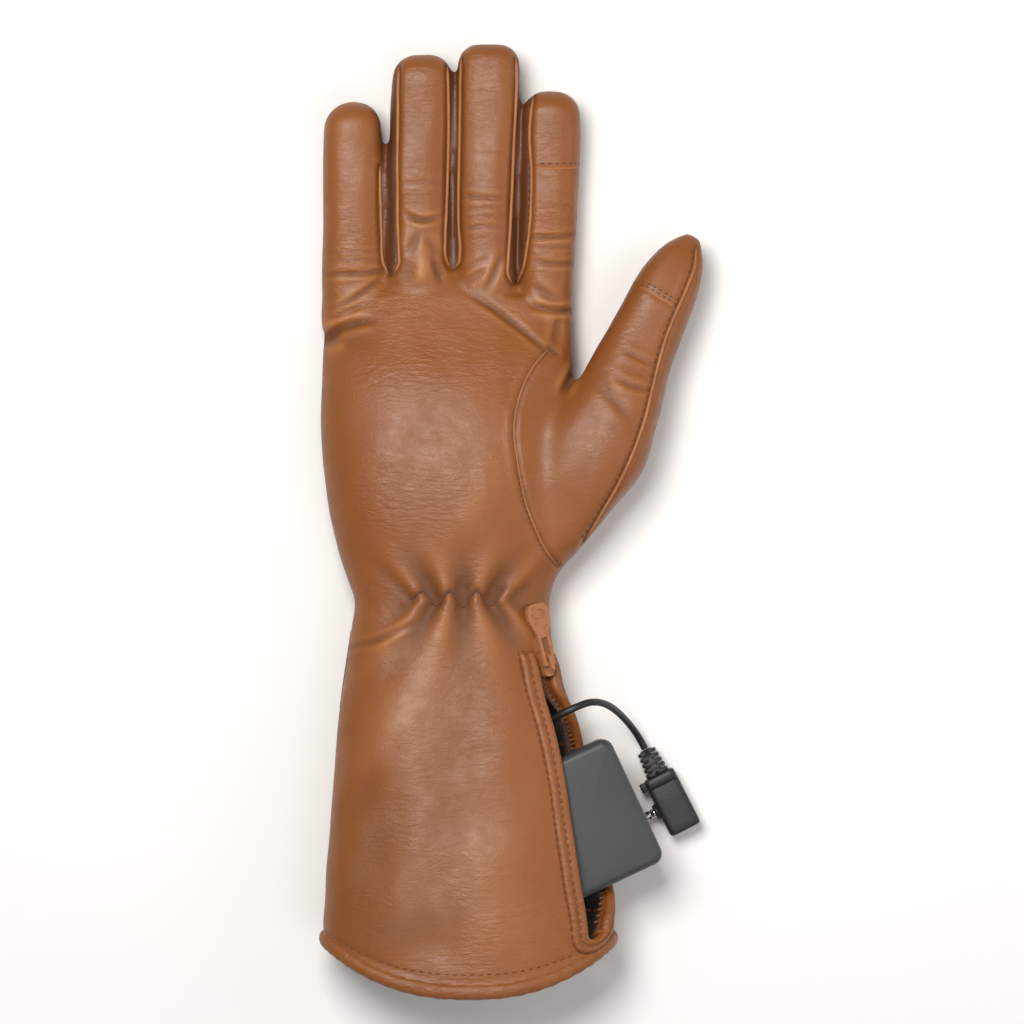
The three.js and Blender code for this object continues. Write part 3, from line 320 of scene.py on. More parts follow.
def loft(maker, rings, closed=False):
    """A skin through rings of equal count, made of circles bridged one to the next, with its ends
    filled, or joined end to end."""
    loops = []
    for number, points in enumerate(rings):
        capped = not closed and number in (0, len(rings) - 1)
        made = bmesh.ops.create_circle(maker, cap_ends=capped, radius=1.0, segments=len(points))["verts"]
        for vertex, point in zip(made, points):
            vertex.co = point
        loops.append(list({edge for vertex in made for edge in vertex.link_edges}))
    for first, second in zip(loops, loops[1:] + (loops[:1] if closed else [])):
        bmesh.ops.bridge_loops(maker, edges=first + second)


def to_metres(maker):
    """A mesh in metres, in the part's frame, from a bmesh in the glove's own millimetres."""
    bmesh.ops.recalc_face_normals(maker, faces=maker.faces)
    bmesh.ops.translate(maker, vec=(0, WRIST, 0), verts=maker.verts)
    bmesh.ops.scale(maker, vec=(MM, MM, MM), verts=maker.verts)
    mesh = bpy.data.meshes.new("shape")
    maker.to_mesh(mesh)
    maker.free()
    return mesh


def hand_form(offset, spacing):
    """Trunk, fingers and thumb as overlapping closed bodies, grown or shrunk by an offset."""
    maker = bmesh.new()
    past_hem = 0 if offset >= 0 else PAST_HEM
    rings = []
    for y in np.arange(-CUFF_LENGTH - past_hem, PALM_LENGTH + PALM_END[0][0], spacing):
        ring = trunk_point(max(y, -CUFF_LENGTH), full_turn(TRUNK_POINTS), offset)
        ring[:, 1] += min(y + CUFF_LENGTH, 0)
        rings.append(ring)
    for y, inward in PALM_END:
        ring = trunk_point(PALM_LENGTH, full_turn(TRUNK_POINTS), offset - inward)
        ring[:, 1] += y + min(offset, 0) + np.interp(ring[:, 0], CROTCH_ROWS[:, 0], CROTCH_ROWS[:, 1])
        rings.append(ring)
    loft(maker, rings)
    for name, rows in FINGERS.items():
        rows = np.array(rows, float)
        root, tip = rows[0, 0], rows[-1, 0] + offset
        depth, corner = FINGER_DEPTH[name], TIP_CORNER[name]
        turn_in = 1 - np.sin(np.linspace(0, math.pi / 2, 8))
        rings = []
        for y in np.concatenate([np.arange(root, tip - corner, spacing), tip - corner * turn_in]):
            left, right = smooth_value(rows, y)
            near = min(tip - y, corner)
            round_off = corner - math.sqrt(max(corner**2 - (corner - near) ** 2, 0))
            along = np.clip((y - root) / (tip - root), 0, 1)
            grow = np.interp(along, *DEPTH_ROWS)
            half_width = max((right - left) / 2 + offset - round_off, FINGER_END)
            half_depth = max(depth * grow / 2 + offset - round_off, FINGER_END)
            middle = FINGER_BASE + depth / 2 + FINGER_LIFT * along**2
            rings.append(digit_ring(((left + right) / 2, y, middle), 0, half_width, half_depth))
        loft(maker, rings)
    last = len(THUMB_ROWS) - 1
    rows = np.column_stack([np.arange(last + 1), THUMB_ROWS])
    rings = []
    for step in np.linspace(0, last, last * 4 + 1):
        x, y, turn, width, depth, middle = smooth_value(rows, step)
        turn = math.radians(turn)
        back = offset * np.clip(step - last + 2, 0, 1)
        centre = (x + back * math.sin(turn), y + back * math.cos(turn), middle)
        half_width, half_depth = max(width / 2 + offset, THUMB_END), max(depth / 2 + offset, THUMB_END)
        rings.append(digit_ring(centre, turn, half_width, half_depth))
    loft(maker, rings)
    return to_metres(maker)


def with_modifiers(mesh, *kinds):
    """A mesh after modifiers, each given as a kind and its settings."""
    holder = bpy.data.objects.new("holder", mesh)
    bpy.context.scene.collection.objects.link(holder)
    for number, (kind, settings) in enumerate(kinds):
        modifier = holder.modifiers.new(f"{kind}_{number}", kind)
        for name, value in settings.items():
            setattr(modifier, name, value)
    graph = bpy.context.evaluated_depsgraph_get()
    made = bpy.data.meshes.new_from_object(holder.evaluated_get(graph))
    bpy.data.objects.remove(holder)
    return made


def cut(mesh, *cutters):
    """A closed mesh after the other closed meshes are taken from it."""
    for cutter in cutters:
        tool = bpy.data.objects.new("cutter", cutter)
        bpy.context.scene.collection.objects.link(tool)
        settings = {"object": tool, "operation": "DIFFERENCE", "solver": "MANIFOLD"}
        mesh = with_modifiers(mesh, ("BOOLEAN", settings))
        bpy.data.objects.remove(tool)
    return mesh


def get_points(mesh):
    """A mesh's points in the glove's own millimetres, and its normals."""
    points = np.empty(len(mesh.vertices) * 3, np.float32)
    normals = np.empty_like(points)
    mesh.vertices.foreach_get("co", points)
    mesh.vertices.foreach_get("normal", normals)
    points = points.reshape(-1, 3).astype(float) / MM
    points[:, 1] -= WRIST
    return points, normals.reshape(-1, 3).astype(float)


def set_points(mesh, points):
    """Moves a mesh's points to places in the glove's own millimetres."""
    moved = (points + (0, WRIST, 0)) * MM
    mesh.vertices.foreach_set("co", moved.astype(np.float32).ravel())
    mesh.update()


skin_mesh = with_modifiers(
    hand_form(0.0, 3.0),
    ("REMESH", {"mode": "VOXEL", "voxel_size": VOXEL * MM}),
    ("SMOOTH", {"factor": 0.5, "iterations": 9}),
)

# The thumb's base flows into the palm, so the line where the two bodies meet is smoothed away.
BASE_ACROSS, BASE_ALONG, BASE_LOW = (14, 58), (-46, 38), 14
BASE_SLOPE, BASE_EDGE, BASE_PASSES = 0.25, 52, 70
softener = bmesh.new()
softener.from_mesh(skin_mesh)
base_zone = []
for vertex in softener.verts:
    px, py, pz = (side / MM for side in vertex.co)
    inside = BASE_ACROSS[0] < px < BASE_ACROSS[1] and BASE_ALONG[0] < py < BASE_ALONG[1]
    if inside and pz > BASE_LOW and px - BASE_SLOPE * py < BASE_EDGE:
        base_zone.append(vertex)
for _ in range(BASE_PASSES):
    bmesh.ops.smooth_vert(softener, verts=base_zone, factor=0.5,
                          use_axis_x=True, use_axis_y=True, use_axis_z=True)
softener.to_mesh(skin_mesh)
softener.free()

# Seams that show on the palm side, as places across and up from the wrist seam.
LIPS = {
    "little_right": [(-24.9, 156), (-24.9, 151), (-24.8, 146), (-24.3, 132), (-23.6, 121), (-21.7, 117.3)],
    "ring_left": [(-17.7, 192), (-18.0, 186), (-18.1, 175), (-18.3, 163), (-18.3, 148), (-18.3, 136),
                  (-17.9, 126), (-17.8, 121), (-19.6, 117.3)],
    "ring_right": [(-0.6, 192), (-0.4, 186), (-0.2, 175), (-0.3, 163), (-0.6, 152), (-1.0, 140),
                   (-1.4, 130), (-1.2, 123), (0.4, 119.5)],
    "middle_left": [(4.8, 195), (4.4, 188), (4.3, 178), (4.1, 166), (3.9, 156), (3.7, 144),
                    (3.8, 134), (4.2, 125), (3.6, 121), (2.2, 119.5)],
    "middle_right": [(23.9, 195), (24.2, 190), (24.0, 178), (23.4, 166), (22.9, 154), (22.4, 142),
                     (21.9, 132), (21.3, 123), (21.2, 117), (22.6, 113.9)],
    "index_left": [(30.6, 181), (29.6, 174), (29.2, 166), (29.8, 156), (29.8, 146), (29.4, 136),
                   (28.2, 126), (26.8, 118.7), (24.6, 114.4)],
}
THUMB_SEAM = [(38.6, 88.6), (36.2, 90.5), (31.6, 85.4), (26.6, 76.3), (24.1, 67.2), (23.5, 59.1),
              (24.5, 51.0), (25.4, 45.3), (27.9, 34.2), (31.0, 25.9), (35.3, 17.3), (39.2, 12.4)]
THUMB_EDGE = [(88.9, 126.5), (88.6, 121), (85.9, 113.0), (81.9, 103.8), (78.4, 95.4), (75.7, 86.6),
              (73.3, 77.0), (70.6, 66.0), (66.2, 53.2), (60.6, 41.2), (54.6, 31.0), (48.6, 21.0)]
ZIGZAG = [(-13.7, 0.4), (-9.0, 3.6), (-4.3, -1.8), (0.4, 3.6), (5.3, -2.3), (10.1, 3.9), (14.9, -1.8),
          (19.8, 4.1)]
INDEX_TOUCH = [(30.2, 155.4), (36, 155.2), (42, 155.3), (47.3, 155.6)]
THUMB_TOUCH = [(68.3, 112.6), (72.0, 110.6), (76.4, 108.0), (81.6, 105.0)]
BACK_POINTS = [
    [(27.3, 87), (26.8, 60), (26.3, 35), (25.9, 9)],
    [(-2.9, 90.6), (-2.2, 68), (-1.4, 46.8), (-0.7, 8.3)],
    [(-29.1, 86), (-28.0, 64), (-26.6, 43.2), (-27.6, 26), (-28.4, 9.7)],
]
# Creases pressed into the palm side by the bending hand: across, up, half length, width, turn in
# degrees, depth, bow.
CREASES = [
    (-9.8, 136.6, 5.6, 0.9, -6, 1.15, 1.5), (-10.6, 150.2, 6.0, 0.8, 4, 0.35, -0.6),
    (-12.6, 128.0, 4.0, 1.5, 60, 0.5, 0), (-6.0, 127.0, 4.0, 1.4, -55, 0.5, 0),
    (-9.6, 118.5, 4.0, 2.4, 88, -0.8, 0), (-4.4, 119.0, 5.0, 1.0, -68, 0.6, 0),
    (12.6, 144.6, 7.2, 0.8, -3, 0.55, 0.5), (12.0, 141.2, 5.4, 0.6, 3, 0.4, 0),
    (12.6, 138.0, 4.8, 0.6, 0, 0.35, 0), (12.2, 134.2, 5.6, 0.7, 2, 0.5, -0.4),
    (14.0, 160.2, 6.0, 0.7, 0, 0.25, 0), (16.6, 118.0, 6.5, 1.0, 66, 0.7, 0),
    (9.6, 116.5, 4.0, 1.0, 30, 0.35, 0), (10.0, 121.0, 4.5, 0.8, 20, 0.3, 0),
    (37.0, 142.0, 6.5, 0.8, -3, 0.3, 0), (37.2, 130.6, 8.0, 0.8, 3, 0.9, 0.4),
    (37.0, 127.0, 6.6, 0.6, 2, 0.4, 0), (38.6, 121.0, 7.0, 0.8, -2, 0.7, 0),
    (38.2, 104.2, 7.6, 1.0, -5, 1.1, 0.8), (35.0, 110.0, 5.0, 1.4, -30, 0.5, 0),
    (-34.0, 125.2, 8.0, 0.6, 2, 0.35, 0), (-33.4, 122.6, 7.4, 0.6, -2, 0.3, 0),
    (-34.2, 117.4, 10.5, 0.8, 2, 0.8, 0.4), (-34.0, 108.4, 8.5, 0.8, 30, 0.6, 0.6),
    (-30.0, 111.6, 7.0, 0.7, 34, 0.45, 0), (-37.0, 103.6, 6.5, 0.9, 22, 0.6, 0),
    (-36.0, 98.8, 8.0, 1.2, 16, 0.9, -0.8), (-43.0, 94.5, 4.0, 2.0, 30, 1.2, 0),
    (68.6, 86.4, 6.5, 0.8, -24, 0.4, 0.8), (66.0, 76.6, 6.5, 0.9, -20, 0.5, 0.8),
    (59.0, 72.0, 8.0, 1.8, -48, 0.4, 0), (43.6, 79.4, 6.0, 1.2, 62, 1.0, 0),
    (22.0, 100.4, 15.5, 0.9, -37, 0.75, -0.8), (38.6, 96.2, 5.0, 1.2, 80, 0.5, 0),
    (-20.0, -11.8, 8.0, 0.9, 24, 0.5, 0), (-30.0, -15.6, 7.0, 0.9, 14, 0.4, 0),
]
# Folds on the back of the hand and of the cuff: across, up, half length, width, turn, depth.
BACK_FOLDS = [
    (20, -15, 26, 4.2, -38, 2.2), (-14, 2, 13, 3, 60, 1.6), (-25, 1, 10, 3, 115, 1.4),
    (-27, -47, 12, 3.2, 78, 2.4), (-18, -50, 11, 3, 100, 2.0), (6, -49, 16, 3, 28, 1.6),
    (26, -72, 18, 4, 80, 1.5), (-25, -76, 14, 3.4, 100, 1.6), (-20, -98, 16, 3.8, 140, 1.5),
    (22, -99, 18, 4, 60, 1.6),
]
# Places with fine cross wrinkles: across, up, width, height.
WRINKLED = [
    (-16, 81, 24, 7), (-8, 41, 26, 17), (-34, 126, 10, 9), (67, 81, 9, 8), (-10, 143, 9, 7),
    (13, 140, 9, 9), (37, 134, 9, 10), (-34, 106, 10, 6),
]
# Pleats of the elastic: middle across, spacing, depth, then reach above and below it, and half width.
GATHER_MIDDLE, GATHER_PITCH, GATHER_DEPTH = 5.2, 9.5, 1.15
GATHER_ABOVE, GATHER_BELOW, GATHER_HALF = 13, 17, 18
# The elastic also draws the whole wrist in by this much.
GATHER_PINCH = 0.8
# Grooves of the stitched points on the back.
POINT_DEPTH, POINT_WIDTH = 0.75, 1.3
# The hem's middle and half width, and where the relief starts and over what stretch it grows.
HEM_MIDDLE, HEM_HALF = 7.2, 52.8
HEM_EVEN, HEM_FADE = 2, 9
SKIN_LOW = 0.8
# Uneven waves all over: how many, their spacing, and their height for the widest spacing.
WAVES, WAVE_PITCH, WAVE_HEIGHT = 26, (14, 46), 0.07


def nearest_on(path, x, y):
    """Distance of points to a line through places."""
    best = np.full(x.shape, 1e9)
    for (ax, ay), (bx, by) in zip(path, path[1:]):
        dx, dy = bx - ax, by - ay
        t = np.clip(((x - ax) * dx + (y - ay) * dy) / (dx * dx + dy * dy), 0, 1)
        best = np.minimum(best, np.hypot(x - ax - t * dx, y - ay - t * dy))
    return best


def groove(path, x, y, depth, width):
    """A sewn groove along a line, with the leather swelling on both sides of it."""
    distance = nearest_on(path, x, y)
    return -depth * hill(distance, width) + 0.45 * depth * hill(distance - 2.4 * width, 1.3 * width)


def crease_relief(x, y):
    """Sharp valleys with a swell on each side."""
    height = np.zeros_like(x)
    for across, up, half, width, turn, depth, bow in CREASES:
        along, aside = turned(x, y, across, up, turn)
        aside = aside - bow * (along / half) ** 2
        fade = np.exp(-((along / half) ** 4))
        height += fade * depth * (-hill(aside, width) + 0.5 * hill(np.abs(aside) - 2.3 * width, 1.3 * width))
    return height


def gather_relief(x, y):
    """Pleats that the elastic zigzag draws into the wrist, fanning out above and below it."""
    spread = 1 + np.where(y > 0, 0.055 * y, -0.06 * y)
    across = (x - GATHER_MIDDLE) / spread
    wave = np.cos(2 * math.pi * across / GATHER_PITCH)
    above = np.exp(-((y / GATHER_ABOVE) ** 2))
    below = np.exp(-((np.clip(-y, 0, None) / GATHER_BELOW) ** 1.6))
    fade = np.where(y > 0, above, below)
    window = np.exp(-((across / GATHER_HALF) ** 6))
    pinch = -GATHER_PINCH * np.exp(-((y - 1) / 7) ** 2) * np.exp(-((x - 5) / 26) ** 4)
    return -GATHER_DEPTH * fade * window * (wave + 0.25) + pinch


def strip_zone(x, y):
    """1 on the side strips between two fingers, as seen from the palm, and 0 elsewhere."""
    zone = np.zeros_like(x)
    for side in (("little_right", "ring_left"), ("ring_right", "middle_left"),
                 ("middle_right", "index_left")):
        left, right = (np.array(LIPS[name])[::-1] for name in side)
        low = np.interp(y, left[:, 1], left[:, 0])
        high = np.interp(y, right[:, 1], right[:, 0])
        inside = np.clip((x - low - 0.2) / 0.5, 0, 1) * np.clip((high - 0.2 - x) / 0.5, 0, 1)
        zone = np.maximum(zone, inside * (y > left[0, 1] - 1.0) * (y < max(left[-1, 1], right[-1, 1]) + 6))
    return zone


def back_relief(x, y):
    """Stitched points and soft folds on the back of the hand and of the cuff."""
    height = np.zeros_like(x)
    for path in BACK_POINTS:
        height -= POINT_DEPTH * hill(nearest_on(path, x, y), POINT_WIDTH)
    for across, up, half, width, turn, depth in BACK_FOLDS:
        along, aside = turned(x, y, across, up, turn)
        height -= depth * np.exp(-((along / half) ** 4)) * hill(aside, width)
    return height


# Grooves: seam, depth, width.
GROOVES = [
    (THUMB_SEAM, 0.7, 0.9), (INDEX_TOUCH, 0.35, 0.7), (THUMB_TOUCH, 0.35, 0.7), (ZIGZAG, 0.55, 0.9),
    *[(path, 0.5, 0.8) for path in LIPS.values()], (THUMB_EDGE, 0.5, 0.9),
]
points, normals = get_points(skin_mesh)
x, y, up = points[:, 0], points[:, 1], normals[:, 2]
palm_side = np.clip((up + 0.05) / 0.4, 0, 1)
back_side = np.clip((-up + 0.05) / 0.4, 0, 1)
detail = crease_relief(x, y)
for path, depth, width in GROOVES:
    detail += groove(path, x, y, depth, width)
rng = np.random.default_rng(11)
waves = np.zeros_like(x)
for _ in range(WAVES):
    heading = rng.uniform(0, math.pi)
    pitch = rng.uniform(*WAVE_PITCH)
    phase = (x * math.cos(heading) + y * math.sin(heading)) * 2 * math.pi / pitch + rng.uniform(0, 7)
    waves += np.sin(phase + 1.5 * np.sin((x - y) / 19 + phase * 0.2)) * pitch / WAVE_PITCH[1] * WAVE_HEIGHT
height = palm_side * (detail + gather_relief(x, y)) + back_side * back_relief(x, y)
height += waves * (1 - 0.6 * back_side)
# The relief fades out at the hem, which is even, and a groove lies under the hem's stitches.
hem_gap = y + CUFF_LENGTH + HEM_BOW * (1 - np.clip(np.abs(x - HEM_MIDDLE) / HEM_HALF, 0, 1) ** 2)
height *= np.clip((hem_gap - HEM_EVEN) / HEM_FADE, 0, 1)
height -= HEM_GROOVE * hill(hem_gap - HEM_STITCHES, 0.9)
points += normals * height[:, None]
points[:, 2] = np.maximum(points[:, 2], SKIN_LOW)
set_points(skin_mesh, points)


def surface_tree(points, mesh):
    """A tree that finds the nearest place on a mesh, from its points in the glove's millimetres."""
    places = [tuple(place) for place in points]
    return BVHTree.FromPolygons(places, [tuple(face.vertices) for face in mesh.polygons])


outer_tree = surface_tree(points, skin_mesh)

# Mouth of the zip pocket on the thumb side of the cuff. Its rows give how far it gapes, against the
# share of its length.
SLIT_START, SLIT_END = 18.0, 118.0
SLIT_MOUTH, ZIP_WIDTH = 24.0, 7.0
SLIT_ANGLE = math.radians(50)
SLIT_OUTSIDE, SLIT_INSIDE = 5.0, -6.0
# How much each end of the mouth is drawn in, over how long a stretch.
SLIT_DRAWN, SLIT_CORNER = 3.2, 3.0
SLIT_ROWS = np.array([(0, 0), (0.14, 0), (0.24, 0.45), (0.36, 0.9), (0.5, 1), (0.72, 1), (0.86, 0.7),
                      (0.95, 0.2), (1, 0)], float)


def angle_after(y, angle, distance):
    """The angle that lies a distance further round the cuff."""
    steps = angle + np.sign(distance) * np.radians(np.arange(0, 160, 0.5))
    ring = trunk_point(y, steps)
    reach = np.concatenate([[0], np.cumsum(np.linalg.norm(np.diff(ring, axis=0), axis=1))])
    return float(np.interp(abs(distance), reach, steps * np.sign(distance or 1)) * np.sign(distance or 1))


def mouth_width(y):
    """How wide the mouth gapes at a place along the cuff."""
    share = (-y - SLIT_START) / (SLIT_END - SLIT_START)
    return ZIP_WIDTH + (SLIT_MOUTH - ZIP_WIDTH) * np.interp(share, SLIT_ROWS[:, 0], SLIT_ROWS[:, 1])


cutter = bmesh.new()
rings = []
for y_at in np.linspace(-SLIT_START, -SLIT_END, 34):
    width = mouth_width(y_at)
    ends = min(-SLIT_START - y_at, y_at + SLIT_END)
    draw_in = SLIT_DRAWN * max(1 - ends / SLIT_CORNER, 0) ** 2
    angles = [angle_after(y_at, SLIT_ANGLE, d) for d in np.linspace(draw_in, width - draw_in, 7)]
    rings.append(np.concatenate([
        trunk_point(y_at, angles, SLIT_OUTSIDE), trunk_point(y_at, angles[::-1], SLIT_INSIDE),
    ]))
loft(cutter, rings)
slit_cutter = to_metres(cutter)

# The battery's block, turned and dipped as it sticks out of the pocket, needs room in the cuff.
BATTERY = (62.0, 49.0, 15.5)
BATTERY_OUT = (67.2, -70.7, 26.9)
BATTERY_TURN, BATTERY_DIP = 25.0, 4.0
BATTERY_ROOM = 0.6
battery_place = (Matrix.Translation(BATTERY_OUT) @ Matrix.Rotation(math.radians(BATTERY_TURN), 4, "Z")
                 @ Matrix.Rotation(math.radians(BATTERY_DIP), 4, "Y"))


def round_edges(maker, edges, width, segments):
    """Rounds edges of a bmesh."""
    bmesh.ops.bevel(maker, geom=edges, offset=width, offset_type="OFFSET", segments=segments,
                    profile=0.5, affect="EDGES", material=-1)


def battery_block(growth, corner, edge, segments=4):
    """A rounded box of the battery's size, grown on every side, with its outer end at x = 0."""
    maker = bmesh.new()
    bmesh.ops.create_cube(maker, size=1.0)
    size = [side + 2 * growth for side in BATTERY]
    bmesh.ops.scale(maker, vec=size, verts=maker.verts)
    upright = [e for e in maker.edges if abs(e.verts[0].co.z - e.verts[1].co.z) > 1]
    round_edges(maker, upright, corner, segments + 2)
    round_edges(maker, [e for e in maker.edges if e.calc_face_angle(0) > 1.2], edge, segments)
    bmesh.ops.translate(maker, vec=(-BATTERY[0] / 2, 0, 0), verts=maker.verts)
    return maker


def in_battery(maker):
    """A mesh in metres from a bmesh in the battery's own place."""
    bmesh.ops.transform(maker, matrix=battery_place, verts=maker.verts)
    return to_metres(maker)


remesh = ("REMESH", {"mode": "VOXEL", "voxel_size": INNER_VOXEL * MM})
inner_mesh = with_modifiers(hand_form(-LEATHER, 4.0), remesh)
inner_tree = surface_tree(get_points(inner_mesh)[0], inner_mesh)
battery_space = in_battery(battery_block(BATTERY_ROOM, 5.0, 2.0, 2))
skin_mesh = cut(skin_mesh, inner_mesh, slit_cutter, battery_space)


def paint_shading_and_wrinkles(mesh):
    """Stores painted shade on the side strips and in creases and seams, a painted highlight on ridges, and
    where the leather is finely wrinkled.
    """
    points, normals = get_points(mesh)
    x, y, up = points[:, 0], points[:, 1], normals[:, 2]
    palm = np.clip((up + 0.3) / 0.4, 0, 1)
    relief = crease_relief(x, y) + gather_relief(x, y) * 0.8 + soft_folds(x, y) * 0.2
    # Painted shade: darker in the valleys of the creases and gathers on the palm side, and along the seams.
    seam_and_crease_shade = np.clip(-relief / 0.9, 0, 1) * np.clip(palm * 2, 0, 1)
    for path in (*LIPS.values(), THUMB_SEAM, THUMB_EDGE, ZIGZAG):
        width = 0.8 if path is THUMB_SEAM else 0.9
        seam_and_crease_shade = np.maximum(seam_and_crease_shade, palm * hill(nearest_on(path, x, y), width))
    finish = np.zeros((len(x), 4), np.float32)
    # Painted shade on the side strips between the fingers, which lie deep between them.
    finish[:, 0] = strip_zone(x, y)
    finish[:, 1] = seam_and_crease_shade
    # Painted highlight: lighter on the ridges of the creases, gathers and folds on the palm side.
    finish[:, 2] = np.clip(relief / 0.9, 0, 1) * palm
    for across, up, wide, tall in WRINKLED:
        finish[:, 3] += np.exp(-(((x - across) / wide) ** 2) - ((y - up) / tall) ** 2)
    layer = mesh.color_attributes.new("finish", "FLOAT_COLOR", "POINT")
    layer.data.foreach_set("color", finish.ravel())


def finish_piece(made, name, materials, *nodes, slot="leather"):
    """An object that rides the glove and stands for CAD nodes, from a mesh in metres or a bmesh in
    the glove's own millimetres."""
    mesh = to_metres(made) if isinstance(made, bmesh.types.BMesh) else made
    mesh.name = name
    mesh.shade_smooth()
    mesh.materials.clear()
    for material in materials:
        mesh.materials.append(material)
    piece = bpy.data.objects.new(name, mesh)
    bpy.context.scene.collection.objects.link(piece)
    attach(piece, "glove")
    if nodes:
        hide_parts(*nodes)
    return piece


paint_shading_and_wrinkles(skin_mesh)

# Drum-dyed goatskin with a satin finish: a pebbled grain of 0.7 mm cells and wrinkles 1.5 mm apart.
# Its colour carries painted shade in the creases, along the seams and on the side strips between the
# fingers, and a painted highlight on the ridges of the palm side.
leather, tree, coords = new_material("drum_dyed_goatskin")
shade_and_wrinkle_map = add_node(tree, "Attribute", attribute_name="finish", attribute_type="GEOMETRY")
# Red is painted shade on the side strips, green painted shade in creases and seams, blue a painted highlight
# on ridges; alpha marks the wrinkled places.
strip, seam_and_crease_shade, light = add_node(tree, "SeparateColor", {"Color": shade_and_wrinkle_map}).outputs
clouds = add_node(tree, "TexNoise", {"Vector": coords, "Scale": 22.0, "Detail": 5.0, "Roughness": 0.55})
mottle = add_node(tree, "TexNoise", {"Vector": coords, "Scale": 190.0, "Detail": 5.0, "Roughness": 0.6})
mottling = add_node(tree, "MapRange", {"Value": mottle, 1: 0.35, 2: 0.75, 3: 0.0, 4: 0.22})
# Painted shade in the creases and along the seams.
crease_shade_share = add_node(tree, "Math", {0: seam_and_crease_shade, 1: 0.62}, operation="MULTIPLY")
# Painted shade on the side strips between the fingers.
strip_shade_share = add_node(tree, "Math", {0: strip, 1: 0.8}, operation="MULTIPLY")
# The light tint below is a painted highlight on the palm side's ridges.
base = "#80461A"
for share, tint in ((clouds, "#965927"), (mottling, "#6C3D1C"), (light, "#AD7340"),
                    (crease_shade_share, "#4A2812"), (strip_shade_share, "#542F19")):
    base = add_node(tree, "Mix", {0: share, 6: base, 7: tint}, data_type="RGBA").outputs[2]
pebbles = add_node(tree, "TexVoronoi", {"Vector": coords, "Scale": 1350.0, "Randomness": 0.9},
                   feature="SMOOTH_F1")
stretch = add_node(tree, "Mapping", {"Vector": coords, "Scale": (0.5, 1.6, 1.0)})
wrinkles = add_node(tree, "TexNoise", {
    "Vector": stretch, "Scale": 420.0, "Detail": 4.0, "Roughness": 0.55, "Distortion": 0.6,
})
patches = add_node(tree, "TexNoise", {"Vector": coords, "Scale": 34.0, "Detail": 2.0})
patch_fade = add_node(tree, "MapRange", {"Value": patches, 1: 0.42, 2: 0.62, 3: 0.15, 4: 1.0})
amount = add_node(tree, "Math", {0: shade_and_wrinkle_map.outputs["Alpha"], 1: 0.9, 2: patch_fade},
                  operation="MULTIPLY_ADD")
wrinkle_height = add_node(tree, "Math", {0: wrinkles, 1: amount}, operation="MULTIPLY")
grain = add_node(tree, "Bump", {"Height": pebbles, "Strength": 0.5, "Distance": 0.09 * MM})
folds = add_node(tree, "Bump", {
    "Height": wrinkle_height, "Strength": 0.6, "Distance": 0.55 * MM, "Normal": grain,
})
gloss = add_node(tree, "MapRange", {"Value": mottle, 1: 0.3, 2: 0.7, 3: 0.4, 4: 0.52})
dulled = add_node(tree, "Math", {0: seam_and_crease_shade, 1: 0.2, 2: gloss}, operation="MULTIPLY_ADD")
shader = add_node(tree, "BsdfPrincipled", {
    "Base Color": base, "Roughness": dulled, "IOR": 1.48, "Normal": folds,
})
add_node(tree, "OutputMaterial", {"Surface": shader})

# Brushed knit: brown and matt, with 1.1 mm stitches under a soft nap. It shows in the cuff's mouth.
lining = two_tone(
    "brushed_knit_lining", ("#1E1713", "#3A2C22"),
    ("TexNoise", {"Scale": 700.0, "Detail": 5.0}), ("TexVoronoi", {"Scale": 900.0}),
    0.8, 0.3, {"Roughness": 0.95, "Sheen Weight": 0.3, "Sheen Roughness": 0.5},
)

finish_piece(skin_mesh, "leather_skin", [leather, lining], "hand", "thumb", "index_touch_tip",
             "thumb_touch_tip", "fourchette_little_ring", "fourchette_ring_middle",
             "fourchette_middle_index", "cuff")
# Faces that the inner form cut are the lining.
lined = np.zeros(len(skin_mesh.polygons), np.int32)
for number, face in enumerate(skin_mesh.polygons):
    middle = face.center / MM
    if inner_tree.find_nearest(Vector((middle.x, middle.y - WRIST, middle.z)))[3] < 0.05:
        lined[number] = 1
skin_mesh.polygons.foreach_set("material_index", lined)


# Seam lips: where two edges of the leather meet in a sewn seam they stand up as a thin folded bead,
# lighter where it is rubbed. Each bead follows its seam along the skin, and its ends sink into it.

# Beads on the palm side: seam, lift off the skin, radius, spacing of points.
BEADS = [
    *[(path, 0.2, 0.62, 1.6) for path in LIPS.values()], (THUMB_EDGE, 0.1, 0.62, 1.6),
    (THUMB_SEAM[1:], 0.0, 0.4, 1.6), (INDEX_TOUCH, 0.05, 0.45, 1.4), (THUMB_TOUCH, 0.05, 0.45, 1.4),
]


def on_skin(places, lift, below=False):
    """Points of the palm side, or of the back, at some places, lifted off the skin."""
    found = []
    for x, y in places:
        start = Vector((x, y, -60 if below else 120))
        hit, normal, _, _ = outer_tree.ray_cast(start, Vector((0, 0, 1 if below else -1)))
        if hit is None:
            hit, normal, _, _ = outer_tree.find_nearest(Vector((x, y, 8 if below else 24)))
        found.append(np.array(hit + normal * lift))
    return found


def resample(path, step):
    """Even points along a smooth line through places."""
    path = np.asarray(path, float)
    reach = np.concatenate([[0], np.cumsum(np.linalg.norm(np.diff(path, axis=0), axis=1))])
    count = max(int(round(reach[-1] / step)), 2)
    rows = np.column_stack([reach, path])
    return np.array([smooth_value(rows, at) for at in np.linspace(0, reach[-1], count + 1)])


